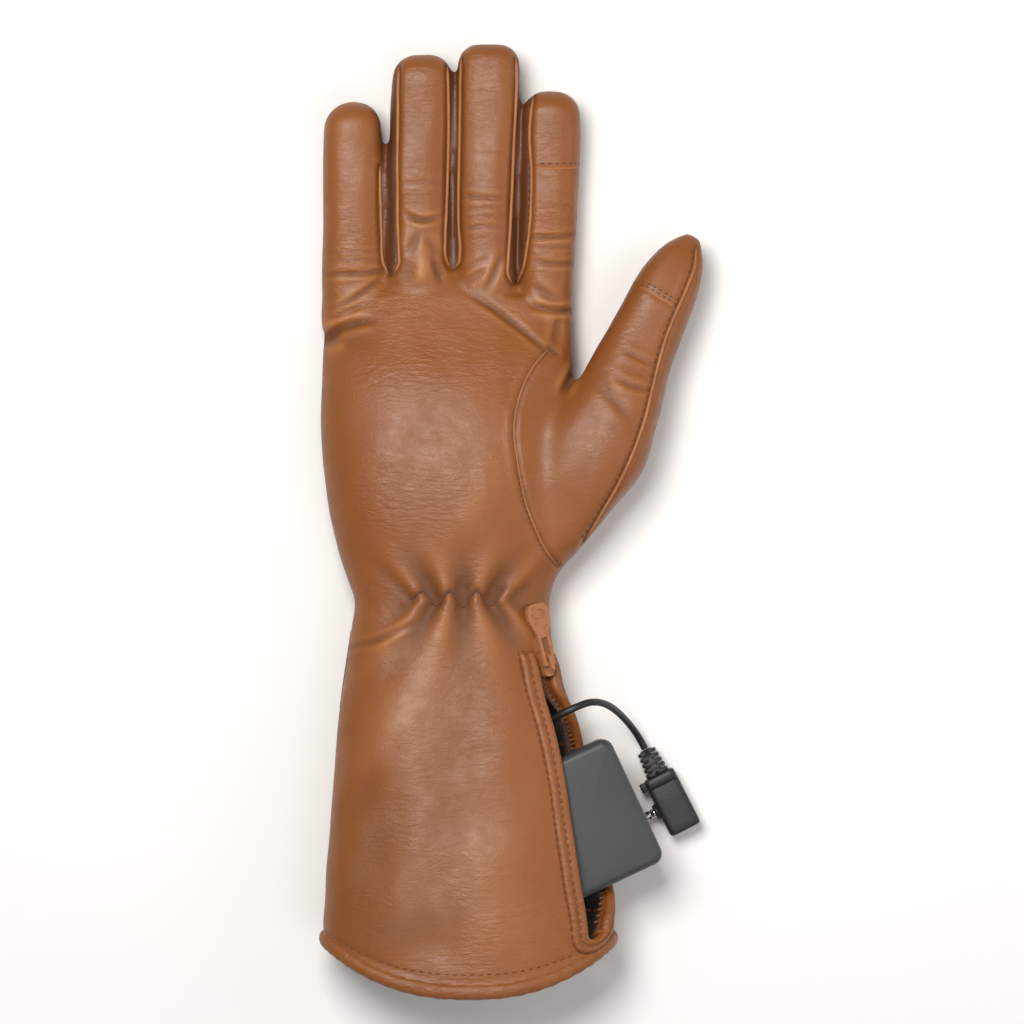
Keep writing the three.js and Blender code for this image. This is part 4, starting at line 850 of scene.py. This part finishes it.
def tube(maker, path, radius):
    """A round bead along points, thinner at its ends."""
    path = np.asarray(path, float)
    along = np.gradient(path, axis=0)
    along /= np.linalg.norm(along, axis=1)[:, None] + 1e-9
    turn = full_turn(8)
    rings = []
    for number, (point, ahead) in enumerate(zip(path, along)):
        aside = np.cross(ahead, (0.0, 0.0, 1.0))
        aside /= np.linalg.norm(aside) + 1e-9
        over = np.cross(aside, ahead)
        near_end = min(number, len(path) - 1 - number)
        thin = radius * min(0.35 + 0.3 * near_end, 1.0)
        rings.append(point + thin * (np.cos(turn)[:, None] * aside + np.sin(turn)[:, None] * over))
    loft(maker, rings)


# Burnished leather: the folded edge, rubbed warmer and lighter in 8 mm patches, with 0.7 mm grain.
edge_leather = two_tone(
    "burnished_leather_edge", ("#8A4B20", "#B87A45"),
    ("TexNoise", {"Scale": 120.0, "Detail": 4.0}), ("TexNoise", {"Scale": 1400.0, "Detail": 3.0}),
    0.5, 0.1, {"Roughness": 0.5, "IOR": 1.48},
)

lips = bmesh.new()
for path, lift, radius, step in BEADS:
    tube(lips, on_skin(resample(path, step), lift), radius)
for path in BACK_POINTS:
    tube(lips, on_skin(resample(path, 2.0), 0.0, below=True), 0.55)
finish_piece(lips, "seam_lips", [edge_leather])


# Thread: bonded nylon in brown, 0.4 mm thick, in straight rows beside the seams and in one zigzag
# over the elastic at the wrist. Each stitch is a short bar, round at both ends.

# Rows on the palm side: seam, gap to it, lift, pitch and length of a stitch.
THREAD_ROWS = [
    (LIPS["index_left"], 0.9, 0.15, 2.7, 1.9), (THUMB_EDGE, 1.3, 0.15, 2.7, 1.9),
    (INDEX_TOUCH, -1.7, 0.15, 2.7, 1.9), (THUMB_SEAM[7:], 0.8, 0.1, 2.2, 1.5),
    (THUMB_TOUCH, -1.2, 0.15, 2.2, 1.6), (THUMB_TOUCH, -2.4, 0.15, 2.2, 1.6),
]
# The pocket's mouth interrupts the hem's stitches between these angles.
HEM_BREAK = (44, 72)

# Bonded nylon: three plies in a tight twist, a little shiny, with a ridge every 0.35 mm.
nylon_twist = ("TexWave", {"Scale": 900.0, "Distortion": 2.0})
nylon = two_tone(
    "bonded_nylon_thread", ("#4A260F", "#7A451F"), nylon_twist, nylon_twist,
    0.5, 0.08, {"Roughness": 0.55, "Sheen Weight": 0.15},
)


def stitches(maker, path, pitch=2.7, length=1.9, thick=0.42):
    """A row of sewn thread bars along points."""
    places = resample(path, pitch)
    shape = Matrix.Diagonal((length / 2, thick / 2 * 1.2, thick / 2, 1))
    for first, second in zip(places, places[1:]):
        turn = Vector(second - first).to_track_quat("X", "Z").to_matrix().to_4x4()
        place = Matrix.Translation(Vector((first + second) / 2)) @ turn @ shape
        bmesh.ops.create_icosphere(maker, subdivisions=1, radius=1.0, matrix=place)


def beside(path, gap):
    """A line of places moved sideways by a gap."""
    path = resample(path, 2.0)
    ahead = np.gradient(path, axis=0)
    ahead /= np.linalg.norm(ahead, axis=1)[:, None]
    return path + gap * np.stack([ahead[:, 1], -ahead[:, 0]], axis=1)


thread = bmesh.new()
for path, gap, lift, pitch, length in THREAD_ROWS:
    stitches(thread, on_skin(beside(path, gap), lift), pitch, length)
for path in BACK_POINTS:
    for gap in (-1.5, 1.5):
        stitches(thread, on_skin(beside(path, gap), 0.1, below=True))
tube(thread, on_skin(resample(ZIGZAG, 1.2), 0.12), 0.5)
hem_turns = full_turn(120)
hem_line = trunk_point(-CUFF_LENGTH + HEM_STITCHES, hem_turns)
hem_line = np.array([outer_tree.find_nearest(Vector(p))[0] for p in hem_line])
hem_turns = np.degrees(hem_turns)
hem_line = np.concatenate([hem_line[hem_turns > HEM_BREAK[1]], hem_line[hem_turns < HEM_BREAK[0]]])
stitches(thread, hem_line, 3.0, 2.1)
finish_piece(thread, "sewing_thread", [nylon])


# Hem binding: a strip of the same leather rolled over the cuff's edge and sewn down, about 5 mm wide.
# It is swept round the hem as a flattened bead, and swells a little between its stitches.
HEM_BEAD = (1.88, 2.8)
HEM_SINK, HEM_BACK, HEM_SWELL = -1.0, 0.6, 0.05

binding = bmesh.new()
rings = []
for number, turn in enumerate(full_turn(160)):
    swell = 1 + HEM_SWELL * math.sin(number * 1.9)
    ring = []
    for round_turn in full_turn(12):
        offset = HEM_SINK + HEM_BEAD[0] * math.sin(round_turn) * swell
        point = trunk_point(-CUFF_LENGTH, turn, offset)[0]
        point[1] += HEM_BACK - HEM_BEAD[1] * math.cos(round_turn) * swell
        ring.append(point)
    rings.append(ring)
loft(binding, rings, closed=True)
finish_piece(binding, "hem_bead", [leather], "hem_binding")


# Zip welts: both edges of the battery pocket's mouth are bound with folded leather, edge-stitched, so
# that each shows as two parallel ridges. One strip runs down, turns at the hem end and comes back.

# Section of the two ridges: reach out from the mouth's edge, lift off the cuff.
WELT_ROWS = [
    (-0.4, -1.6), (-0.5, 0.6), (0.3, 1.7), (1.5, 1.75), (2.4, 0.9), (3.0, 0.85), (3.7, 1.4), (4.9, 1.3),
    (5.7, 0.5), (5.8, -0.6),
]
# The valleys of the section that are stitched.
WELT_VALLEYS = (4, 8)
WELT_STRAIGHT_END = -113.5
WELT_TURN_SQUASH = 0.6
# Shares of the whole length: of one straight side, and of the taper at each end, which sinks.
WELT_STRAIGHT, WELT_TAPER = 0.46, 0.035
WELT_SINK = 1.6


def welt_place(y, reach, lift):
    """The point a distance across from the upper edge of the mouth, lifted off the cuff."""
    return trunk_point(y, angle_after(y, SLIT_ANGLE, reach), lift)[0]


def welt_ring(share):
    """A section of the welt, from the top of one side, round the hem end, to the top of the other."""
    near = min(share, 1 - share)
    sink = WELT_SINK * (1 - min(near / WELT_TAPER, 1)) ** 2
    ring = []
    for out_by, lift in WELT_ROWS:
        if share < WELT_STRAIGHT or share > 1 - WELT_STRAIGHT:
            y = -SLIT_START + (WELT_STRAIGHT_END + SLIT_START) * near / WELT_STRAIGHT
            reach = -out_by if share < WELT_STRAIGHT else mouth_width(y) + out_by
        else:
            turn = math.pi * (share - WELT_STRAIGHT) / (1 - 2 * WELT_STRAIGHT)
            width = mouth_width(WELT_STRAIGHT_END)
            reach = width / 2 - (width / 2 + out_by) * math.cos(turn)
            y = WELT_STRAIGHT_END - (width / 2 + out_by) * WELT_TURN_SQUASH * math.sin(turn)
        ring.append(welt_place(y, reach, lift - sink))
    return ring


welt = bmesh.new()
shares = np.concatenate([
    np.linspace(0, WELT_STRAIGHT, 52), np.linspace(WELT_STRAIGHT + 0.005, 0.995 - WELT_STRAIGHT, 11),
    np.linspace(1 - WELT_STRAIGHT, 1, 52),
])
welt_rings = [welt_ring(share) for share in shares]
loft(welt, welt_rings)
finish_piece(welt, "zip_welt", [leather], "zip_welt_upper", "zip_welt_lower")

welt_thread = bmesh.new()
for row in WELT_VALLEYS:
    stitches(welt_thread, np.array([ring[row] for ring in welt_rings]) + (0, 0, 0.1), thick=0.4)
finish_piece(welt_thread, "zip_thread", [nylon])


# Zip: woven tape in brown with a moulded nylon chain, and a slider and pull of die-cast metal painted
# to match the leather. The tapes and the slider keep the CAD shapes, and the teeth are added here.

# Teeth: pitch and size, then how far in from the mouth's edges, how deep, and where the rows start.
TOOTH_PITCH, TOOTH_SIZE = 1.6, (1.5, 0.85, 1.0)
TOOTH_IN, TOOTH_LIFT, TEETH_START = 1.6, -2.6, 10

# Woven tape: matt, with the ribs of a plain weave 0.8 mm apart.
tape, tree, coords = new_material("woven_zip_tape")
weft, warp = (
    add_node(tree, "TexWave", {"Vector": coords, "Scale": scale, "Distortion": 0.6}, bands_direction=way)
    for scale, way in ((420.0, "Y"), (380.0, "X"))
)
weave = add_node(tree, "Math", {0: weft.outputs["Fac"], 1: warp.outputs["Fac"]}, operation="MULTIPLY")
tone = add_node(tree, "Mix", {0: weave, 6: "#5E3013", 7: "#8D5326"}, data_type="RGBA")
bump = add_node(tree, "Bump", {"Height": weave, "Strength": 0.8, "Distance": 0.2 * MM})
shader = add_node(tree, "BsdfPrincipled", {
    "Base Color": tone.outputs[2], "Roughness": 0.82, "Normal": bump, "Sheen Weight": 0.2,
})
add_node(tree, "OutputMaterial", {"Surface": shader})

# Painted zinc: tan enamel over a die casting, half glossy, worn duller in 2 mm patches.
painted, tree, coords = new_material("painted_die_cast_zinc")
chips = add_node(tree, "TexNoise", {"Vector": coords, "Scale": 500.0, "Detail": 4.0})
tone = add_node(tree, "Mix", {0: chips, 6: "#A3653B", 7: "#BD8055"}, data_type="RGBA")
worn = add_node(tree, "MapRange", {"Value": chips, 1: 0.3, 2: 0.7, 3: 0.24, 4: 0.4})
bump = add_node(tree, "Bump", {"Height": chips, "Strength": 0.15, "Distance": 0.03 * MM})
shader = add_node(tree, "BsdfPrincipled", {
    "Base Color": tone.outputs[2], "Roughness": worn, "Metallic": 0.25, "Coat Weight": 0.3,
    "Coat Roughness": 0.2, "Normal": bump,
})
add_node(tree, "OutputMaterial", {"Surface": shader})
for name, material in {
    "zip_tape_upper": tape, "zip_tape_lower": tape, "zip_slider": painted, "zip_pull": painted,
}.items():
    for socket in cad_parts[name].material_slots:
        socket.material = material


def block(maker, place, edge, segments):
    """A block with rounded edges, from a unit cube that a matrix sizes and puts in place."""
    made = bmesh.ops.create_cube(maker, size=1.0, matrix=place)["verts"]
    bmesh.ops.bevel(maker, geom=list({e for v in made for e in v.link_edges}), offset=edge,
                    segments=segments, profile=0.5, affect="EDGES", material=-1)


teeth = bmesh.new()
for y in np.arange(-SLIT_START - TEETH_START, WELT_STRAIGHT_END, -TOOTH_PITCH):
    for reach in (TOOTH_IN, mouth_width(y) - TOOTH_IN):
        place = welt_place(y, reach, TOOTH_LIFT)
        ahead = welt_place(y - 1, reach, TOOTH_LIFT) - place
        turn = Vector(ahead).to_track_quat("Y", "Z").to_matrix().to_4x4()
        block(teeth, Matrix.Translation(place) @ turn @ Matrix.Diagonal((*TOOTH_SIZE, 1)), 0.2, 1)
finish_piece(teeth, "zip_teeth", [nylon], slot="zip_tape")


# Battery: a lithium pack in a two-part case of charcoal ABS with a spark-eroded texture, rounded at
# the corners, with a parting line round its middle, a charging socket and two small lights.
BATTERY_CORNER, BATTERY_EDGE = 4.2, 2.9
SOCKET_RADIUS, SOCKET_DEPTH, SOCKET_ACROSS = 2.2, 4.0, 3.9
SOCKET_PIN_RADIUS, SOCKET_PIN_LENGTH = 0.6, 2.4
PARTING_WIDTH, PARTING_DEPTH = 0.35, 0.3
# Pits of the two lights on the top: place along and across, half length and half width.
LIGHT_PITS = [(-28.4, -15.9, 1.1, 0.45), (-31.6, -16.0, 0.5, 0.5)]
PIT_DEPTH = 0.5
SHARP_FROM = 35

# Spark-textured ABS: charcoal and satin, with 0.7 mm sparks, and a faint haze in 30 mm clouds.
plastic = two_tone(
    "spark_textured_abs", ("#333435", "#444546"),
    ("TexNoise", {"Scale": 30.0, "Detail": 3.0}), ("TexNoise", {"Scale": 1500.0, "Detail": 2.0}),
    0.5, 0.08, {"Roughness": 0.46, "IOR": 1.5},
)


def pegs(places, segments=20):
    """Closed round pegs, each from a middle, a direction, two radii and a length."""
    maker = bmesh.new()
    for middle, ahead, wide, high, length in places:
        turn = Vector(ahead).to_track_quat("Z", "Y").to_matrix().to_4x4()
        shape = Matrix.Diagonal((wide, high, length, 1))
        bmesh.ops.create_cone(maker, cap_ends=True, segments=segments, radius1=1, radius2=1, depth=1,
                              matrix=Matrix.Translation(middle) @ turn @ shape)
    return maker


socket_hole = pegs([((0, SOCKET_ACROSS, 0), (1, 0, 0), SOCKET_RADIUS, SOCKET_RADIUS, 2 * SOCKET_DEPTH)])
light_pits = pegs([((a, b, BATTERY[2] / 2), (0, 0, 1), wide, high, PIT_DEPTH)
                   for a, b, wide, high in LIGHT_PITS])
band = battery_block(0.5, BATTERY_CORNER + 0.5, 0.01, 1)
bmesh.ops.scale(band, vec=(1, 1, PARTING_WIDTH / (BATTERY[2] + 1)), verts=band.verts)
core = battery_block(-PARTING_DEPTH, BATTERY_CORNER, 0.5, 1)
parting = cut(in_battery(band), in_battery(core))
case_mesh = in_battery(battery_block(0, BATTERY_CORNER, BATTERY_EDGE, 5))
case_mesh = cut(case_mesh, parting, in_battery(socket_hole), in_battery(light_pits))
finish_piece(case_mesh, "battery_pack", [plastic], "battery_case", slot="battery_plastic")
case_mesh.set_sharp_from_angle(angle=math.radians(SHARP_FROM))

# Nickel plate on turned brass: a bright grey metal, polished, with fine turning marks of 1 mm.
pin_metal, tree, coords = new_material("nickel_plated_brass")
brushed = add_node(tree, "TexNoise", {"Vector": coords, "Scale": 900.0, "Detail": 3.0})
dull = add_node(tree, "MapRange", {"Value": brushed, 3: 0.14, 4: 0.3})
tone = add_node(tree, "Mix", {0: brushed, 6: "#9A9A98", 7: "#C9C9C6"}, data_type="RGBA")
shader = add_node(tree, "BsdfPrincipled", {"Base Color": tone.outputs[2], "Roughness": dull, "Metallic": 1.0})
add_node(tree, "OutputMaterial", {"Surface": shader})
socket_pin = pegs([((-SOCKET_DEPTH + SOCKET_PIN_LENGTH / 2, SOCKET_ACROSS, 0), (1, 0, 0),
                    SOCKET_PIN_RADIUS, SOCKET_PIN_RADIUS, SOCKET_PIN_LENGTH)], 12)
finish_piece(in_battery(socket_pin), "socket_pin", [pin_metal], slot="pin_metal")


# Pocket: a pouch of black polyester lining sewn inside the cuff, which holds the battery's inner half.
# It is a thin sleeve over the battery, open toward the hand, with soft folds drawn in by its seams.
POUCH_GAP, POUCH_MOUTH, POUCH_CLOTH = 0.9, -34.0, 0.5
POUCH_PUFF = 0.55

# Polyester lining: black, a little silky, with slanting ribs drawn 0.7 mm apart, coarser than real
# ones, so that they show.
slant = ("TexWave", {"Scale": 600.0, "Distortion": 1.0}, {"bands_direction": "DIAGONAL"})
pouch_cloth = two_tone(
    "black_polyester_lining", ("#141210", "#2A2522"), slant, slant,
    0.6, 0.15, {"Roughness": 0.7, "Sheen Weight": 0.25},
)

# The sleeve is sliced into a grid, so that it can fold, and cut off aslant at its mouth.
planes = [((place, 0, 0), (1, 0, 0), False) for place in np.linspace(-BATTERY[0], POUCH_MOUTH - 4, 12)]
planes += [((0, place, 0), (0, 1, 0), False) for place in np.linspace(-20, 20, 11)]
planes.append(((POUCH_MOUTH, 0, 0), (1, -0.4, 0), True))
pouch = battery_block(POUCH_GAP, 5.0, 2.8, 3)
for place, facing, opened in planes:
    bmesh.ops.bisect_plane(pouch, geom=pouch.verts[:] + pouch.edges[:] + pouch.faces[:],
                           plane_co=place, plane_no=facing, clear_outer=opened)
for vertex in pouch.verts:
    a, b = vertex.co.x, vertex.co.y
    puff = 0.5 + 0.35 * math.sin(a / 4.3 + b / 7.0) + 0.3 * math.sin(b / 3.6 - a / 9.0)
    vertex.co.z += math.copysign(POUCH_PUFF * puff, vertex.co.z)
pouch_mesh = with_modifiers(
    in_battery(pouch),
    ("SOLIDIFY", {"thickness": POUCH_CLOTH * MM, "offset": 0.0}),
    ("SUBSURF", {"levels": 1, "render_levels": 1}),
)
finish_piece(pouch_mesh, "battery_pouch", [pouch_cloth], "battery_pocket", slot="pocket_cloth")


# Plug: a right-angle barrel plug moulded in black rubber, with a comb-ribbed relief that lets the cord
# bend, a plain neck with a step at its side, a flat body, and a plated pin that points at the battery.
PLUG_TURN = -63.0
# Relief: start, end, half width of the first and of the last rib.
RELIEF = (0.6, 14.9, 3.5, 4.3)
RIB_PITCH, RIB_COUNT, RIB_WIDTH, SLOT_DEPTH = 2.0, 5, 1.25, 2.3
RIB_HIGH = 4.0
NECK_START = 10.5
# Neck: place from its start, half width, half height.
NECK_ROWS = [(0, 4.6, 4.0), (0.2, 5.4, 4.8), (0.7, 5.9, 5.2), (RELIEF[1] - NECK_START, 6.0, 5.35)]
STEP_PLACE, STEP_SIZE = (2.2, -6.6, 0), (3.2, 2.8, 6.0)
# Body: start, end, half width, half height.
PLUG_BODY = (14.6, 32.9, 6.0, 5.4)
PIN_PLACE, PIN_RADIUS = 22.5, 1.75
# Pin: reach from the body's middle, share of its radius.
PIN_ROWS = [(5.6, 1.0), (8.6, 1.0), (8.8, 0.86), (9.3, 0.86), (9.5, 1.0), (13.3, 1.0), (14.0, 0.86),
            (14.5, 0.6)]

plug_place = Matrix.Translation(LEAD_ROUTE[-1]) @ Matrix.Rotation(math.radians(PLUG_TURN), 4, "Z")

# Moulded PVC: black and satin, with a 0.8 mm orange-peel skin.
peel = ("TexNoise", {"Scale": 1300.0, "Detail": 3.0})
moulded = two_tone(
    "moulded_black_pvc", ("#121213", "#262628"), peel, peel, 0.5, 0.1, {"Roughness": 0.5, "IOR": 1.52},
)


def bar(maker, rows, power=3.2, count=28):
    """A closed bar along X, from rows of place, half width and half height."""
    turn = full_turn(count)
    across, over = bulge(np.cos(turn), power), bulge(np.sin(turn), power)
    loft(maker, [np.stack([np.full(count, a), across * wide, over * high], axis=1) for a, wide, high in rows])


def place_plug(maker, name, material, node, slot="lead_rubber"):
    """A finished piece from a bmesh in the plug's own place."""
    bmesh.ops.transform(maker, matrix=plug_place, verts=maker.verts)
    return finish_piece(maker, name, [material], node, slot=slot)


relief_maker = bmesh.new()
rows = [(RELIEF[0], 1.9, 1.9), (RELIEF[0] + 0.3, 2.3, 2.3)]
rib_rows = ((0, 0), (0.06, 0.9), (0.2, 1), (RIB_WIDTH - 0.2, 1), (RIB_WIDTH - 0.06, 0.9), (RIB_WIDTH, 0))
for rib in range(RIB_COUNT):
    near = RELIEF[0] + 0.5 + rib * RIB_PITCH
    wide = np.interp(rib, [0, RIB_COUNT - 1], RELIEF[2:])
    for along, share in rib_rows:
        rows.append((near + along, wide - SLOT_DEPTH * (1 - share), min(wide, RIB_HIGH)))
rows.append((NECK_START + 0.5, 2.2, 3.8))
bar(relief_maker, rows, 5.0)
bar(relief_maker, [(RELIEF[0] + 0.4, 1.2, 3.6), (NECK_START + 0.5, 1.5, 4.1)], 5.0)
bar(relief_maker, [(NECK_START + along, wide, high) for along, wide, high in NECK_ROWS], 6.0, 40)
step = Vector(STEP_PLACE) + Vector((NECK_START, 0, 0))
block(relief_maker, Matrix.Translation(step) @ Matrix.Diagonal((*STEP_SIZE, 1)), 0.4, 2)
relief = place_plug(relief_maker, "plug_ribbed_relief", moulded, "plug_relief")

body_maker = bmesh.new()
start, end, wide, high = PLUG_BODY
bar(body_maker, [
    (start, wide - 0.05, high - 0.05), (start + 0.3, wide, high), (start + 7, wide, high),
    (end - 3, wide, high), (end - 0.9, wide, high), (end - 0.3, wide - 0.35, high - 0.35),
    (end, wide - 1.0, high - 1.0),
], 6.0, 40)
collar = Matrix.Translation((PIN_PLACE, -wide - 0.6, 0)) @ Matrix.Rotation(math.pi / 2, 4, "X")
bmesh.ops.create_cone(body_maker, cap_ends=True, segments=24, radius1=3.0, radius2=2.6, depth=1.6,
                      matrix=collar)
body = place_plug(body_maker, "plug_moulded_body", moulded, "plug_body")

pin_maker = bmesh.new()
turn = full_turn(24)
loft(pin_maker, [np.stack([PIN_PLACE + PIN_RADIUS * share * np.cos(turn), np.full(24, -reach),
                           PIN_RADIUS * share * np.sin(turn)], axis=1) for reach, share in PIN_ROWS])
pin = place_plug(pin_maker, "plug_plated_pin", pin_metal, "plug_pin", "pin_metal")


# Wrist strap: a strap of doubled leather across the back of the wrist, sewn into the seam at one end
# and free at the other, with a row of stitches all round and a rounded free end over the snap.
STRAP_FREE, STRAP_SEWN = math.radians(179), math.radians(249)
STRAP_MIDDLE, STRAP_HALF = -25.5, 14.75
STRAP_LOW, STRAP_HIGH, STRAP_CORNER = -0.6, 2.8, 9.0
STRAP_STITCH_INSET = 2.2
# Section of the strap: share of its half width, share of its thickness.
STRAP_EDGE = [(-1, 0.55), (-0.985, 0.85), (-0.94, 1.0), (-0.6, 1.06), (0, 1.1), (0.6, 1.06), (0.94, 1.0),
              (0.985, 0.85), (1, 0.55), (0.98, 0.1), (0.5, 0.0), (0, 0.0), (-0.5, 0.0), (-0.98, 0.1)]

strap_turns = np.linspace(STRAP_FREE, STRAP_SEWN, 90)
strap_line = trunk_point(STRAP_MIDDLE, strap_turns, STRAP_HIGH)
strap_reach = np.concatenate([[0], np.cumsum(np.linalg.norm(np.diff(strap_line, axis=0), axis=1))])


def strap_point(reach, across, lift):
    """A point of the strap, at a distance from its free end."""
    return trunk_point(STRAP_MIDDLE + across, np.interp(reach, strap_reach, strap_turns), lift)[0]


def strap_half(reach):
    """Half the strap's width, which is rounded at the free end."""
    near = STRAP_CORNER - min(reach, STRAP_CORNER)
    return STRAP_HALF - STRAP_CORNER + math.sqrt(STRAP_CORNER**2 - near**2)


strap = bmesh.new()
rings = []
for reach in np.concatenate([STRAP_CORNER * (1 - np.cos(np.linspace(0.05, math.pi / 2, 9))),
                             np.linspace(STRAP_CORNER + 1.5, strap_reach[-1], 30)]):
    thick = 0.55 if reach < 0.1 else 1.0
    half, high = strap_half(reach), STRAP_HIGH - STRAP_LOW
    rings.append([strap_point(reach, share * half, STRAP_LOW + high * min(lift * thick, 1.0))
                  for share, lift in STRAP_EDGE])
loft(strap, rings)
finish_piece(strap, "leather_strap", [leather], "wrist_strap")

# The stitches go along one side, round the free end and back along the other side.
around = [(reach, strap_half(reach) - STRAP_STITCH_INSET)
          for reach in np.linspace(strap_reach[-1] - 1, STRAP_CORNER, 14)]
corner = STRAP_CORNER - STRAP_STITCH_INSET
around += [(STRAP_CORNER - corner * math.sin(t), STRAP_HALF - STRAP_CORNER + corner * math.cos(t))
           for t in np.linspace(0, math.pi / 2, 7)[1:]]
around += [(reach, -half) for reach, half in around[::-1]]
strap_thread = bmesh.new()
stitches(strap_thread, np.array([strap_point(reach, across, STRAP_HIGH + 0.05) for reach, across in around]))
finish_piece(strap_thread, "strap_thread", [nylon])


# Snap: a pressed steel cap, 15 mm across, lacquered to match the leather, with a shallow ring groove
# round a slightly domed middle. It closes the strap onto the cuff.
SNAP_PLACE, SNAP_RADIUS = (-11.5, -25.5), 7.5
# Share of the radius, and height above the resting surface, from the strap outward.
SNAP_ROWS = [(0.98, 3.4), (1.0, 2.6), (0.985, 1.9), (0.93, 1.35), (0.85, 1.1), (0.78, 1.08), (0.72, 1.35),
             (0.66, 1.4), (0.6, 1.15), (0.45, 0.85), (0.25, 0.65), (0.05, 0.6)]


def level_ring(place, radius, z, count):
    """A level ring of points round a place, of one radius or of a radius for each point."""
    turn = full_turn(count)
    return np.stack([place[0] + radius * np.cos(turn), place[1] + radius * np.sin(turn),
                     np.full(count, z)], axis=1)


snap = bmesh.new()
loft(snap, [level_ring(SNAP_PLACE, SNAP_RADIUS * share, z, 48) for share, z in SNAP_ROWS])
finish_piece(snap, "snap_button", [painted], "snap_cap", slot="snap_metal")


# Power switch: a soft moulded silicone pad, 30 mm across with a rounded lobe at one side, that is set
# into the back of the cuff inside a raised ring of leather, sewn down round its outer edge.
SWITCH_PLACE, SWITCH_RADIUS = (1.0, -75.9), 15.0
LOBE_REACH, LOBE_TURN, LOBE_SPREAD = 3.8, math.radians(9), math.radians(24)
# Pad: inset from its edge, height above the resting surface. The lobe fades out with the inset.
PAD_ROWS = [(0, 4.9), (0, 2.4), (0.25, 1.6), (0.8, 1.1), (1.6, 0.95), (3.0, 1.0), (3.5, 1.35), (4.2, 1.35),
            (4.7, 1.0), (8.0, 0.85), (12.0, 0.8), (13.4, 0.8)]
LOBE_FADE = 12
# Rim: radius, height above the resting surface.
RIM_ROWS = [(15.45, 5.2), (15.4, 3.6), (15.7, 2.95), (16.4, 2.55), (17.2, 2.6), (17.9, 3.0), (18.3, 3.7),
            (18.4, 5.4)]
RIM_STITCHES = 20.0


def switch_ring(radius, z, lobe=LOBE_REACH):
    """A level ring round the switch, with the lobe at its side."""
    away = np.abs((full_turn(96) - LOBE_TURN + math.pi) % (2 * math.pi) - math.pi)
    return level_ring(SWITCH_PLACE, radius + lobe * hill(away, LOBE_SPREAD), z, 96)


# Moulded silicone: tan, soft and satin, cloudy in 17 mm patches, with a 0.9 mm orange-peel skin.
silicone = two_tone(
    "moulded_tan_silicone", ("#8A4B20", "#9E5C2C"),
    ("TexNoise", {"Scale": 60.0, "Detail": 3.0}), ("TexNoise", {"Scale": 1100.0, "Detail": 2.0}),
    0.4, 0.06, {"Roughness": 0.42, "IOR": 1.42},
)

pad = bmesh.new()
loft(pad, [switch_ring(SWITCH_RADIUS - inset, z, LOBE_REACH * max(1 - inset / LOBE_FADE, 0))
           for inset, z in PAD_ROWS])
finish_piece(pad, "switch_pad", [silicone], "power_button", slot="switch_rubber")
rim = bmesh.new()
loft(rim, [switch_ring(radius, z) for radius, z in RIM_ROWS], closed=True)
finish_piece(rim, "switch_rim", [leather], "button_rim")
rim_thread = bmesh.new()
rim_line = np.array([outer_tree.find_nearest(Vector(p))[0] for p in switch_ring(RIM_STITCHES, 4.0)])
stitches(rim_thread, rim_line - (0, 0, 0.1))
finish_piece(rim_thread, "rim_thread", [nylon])
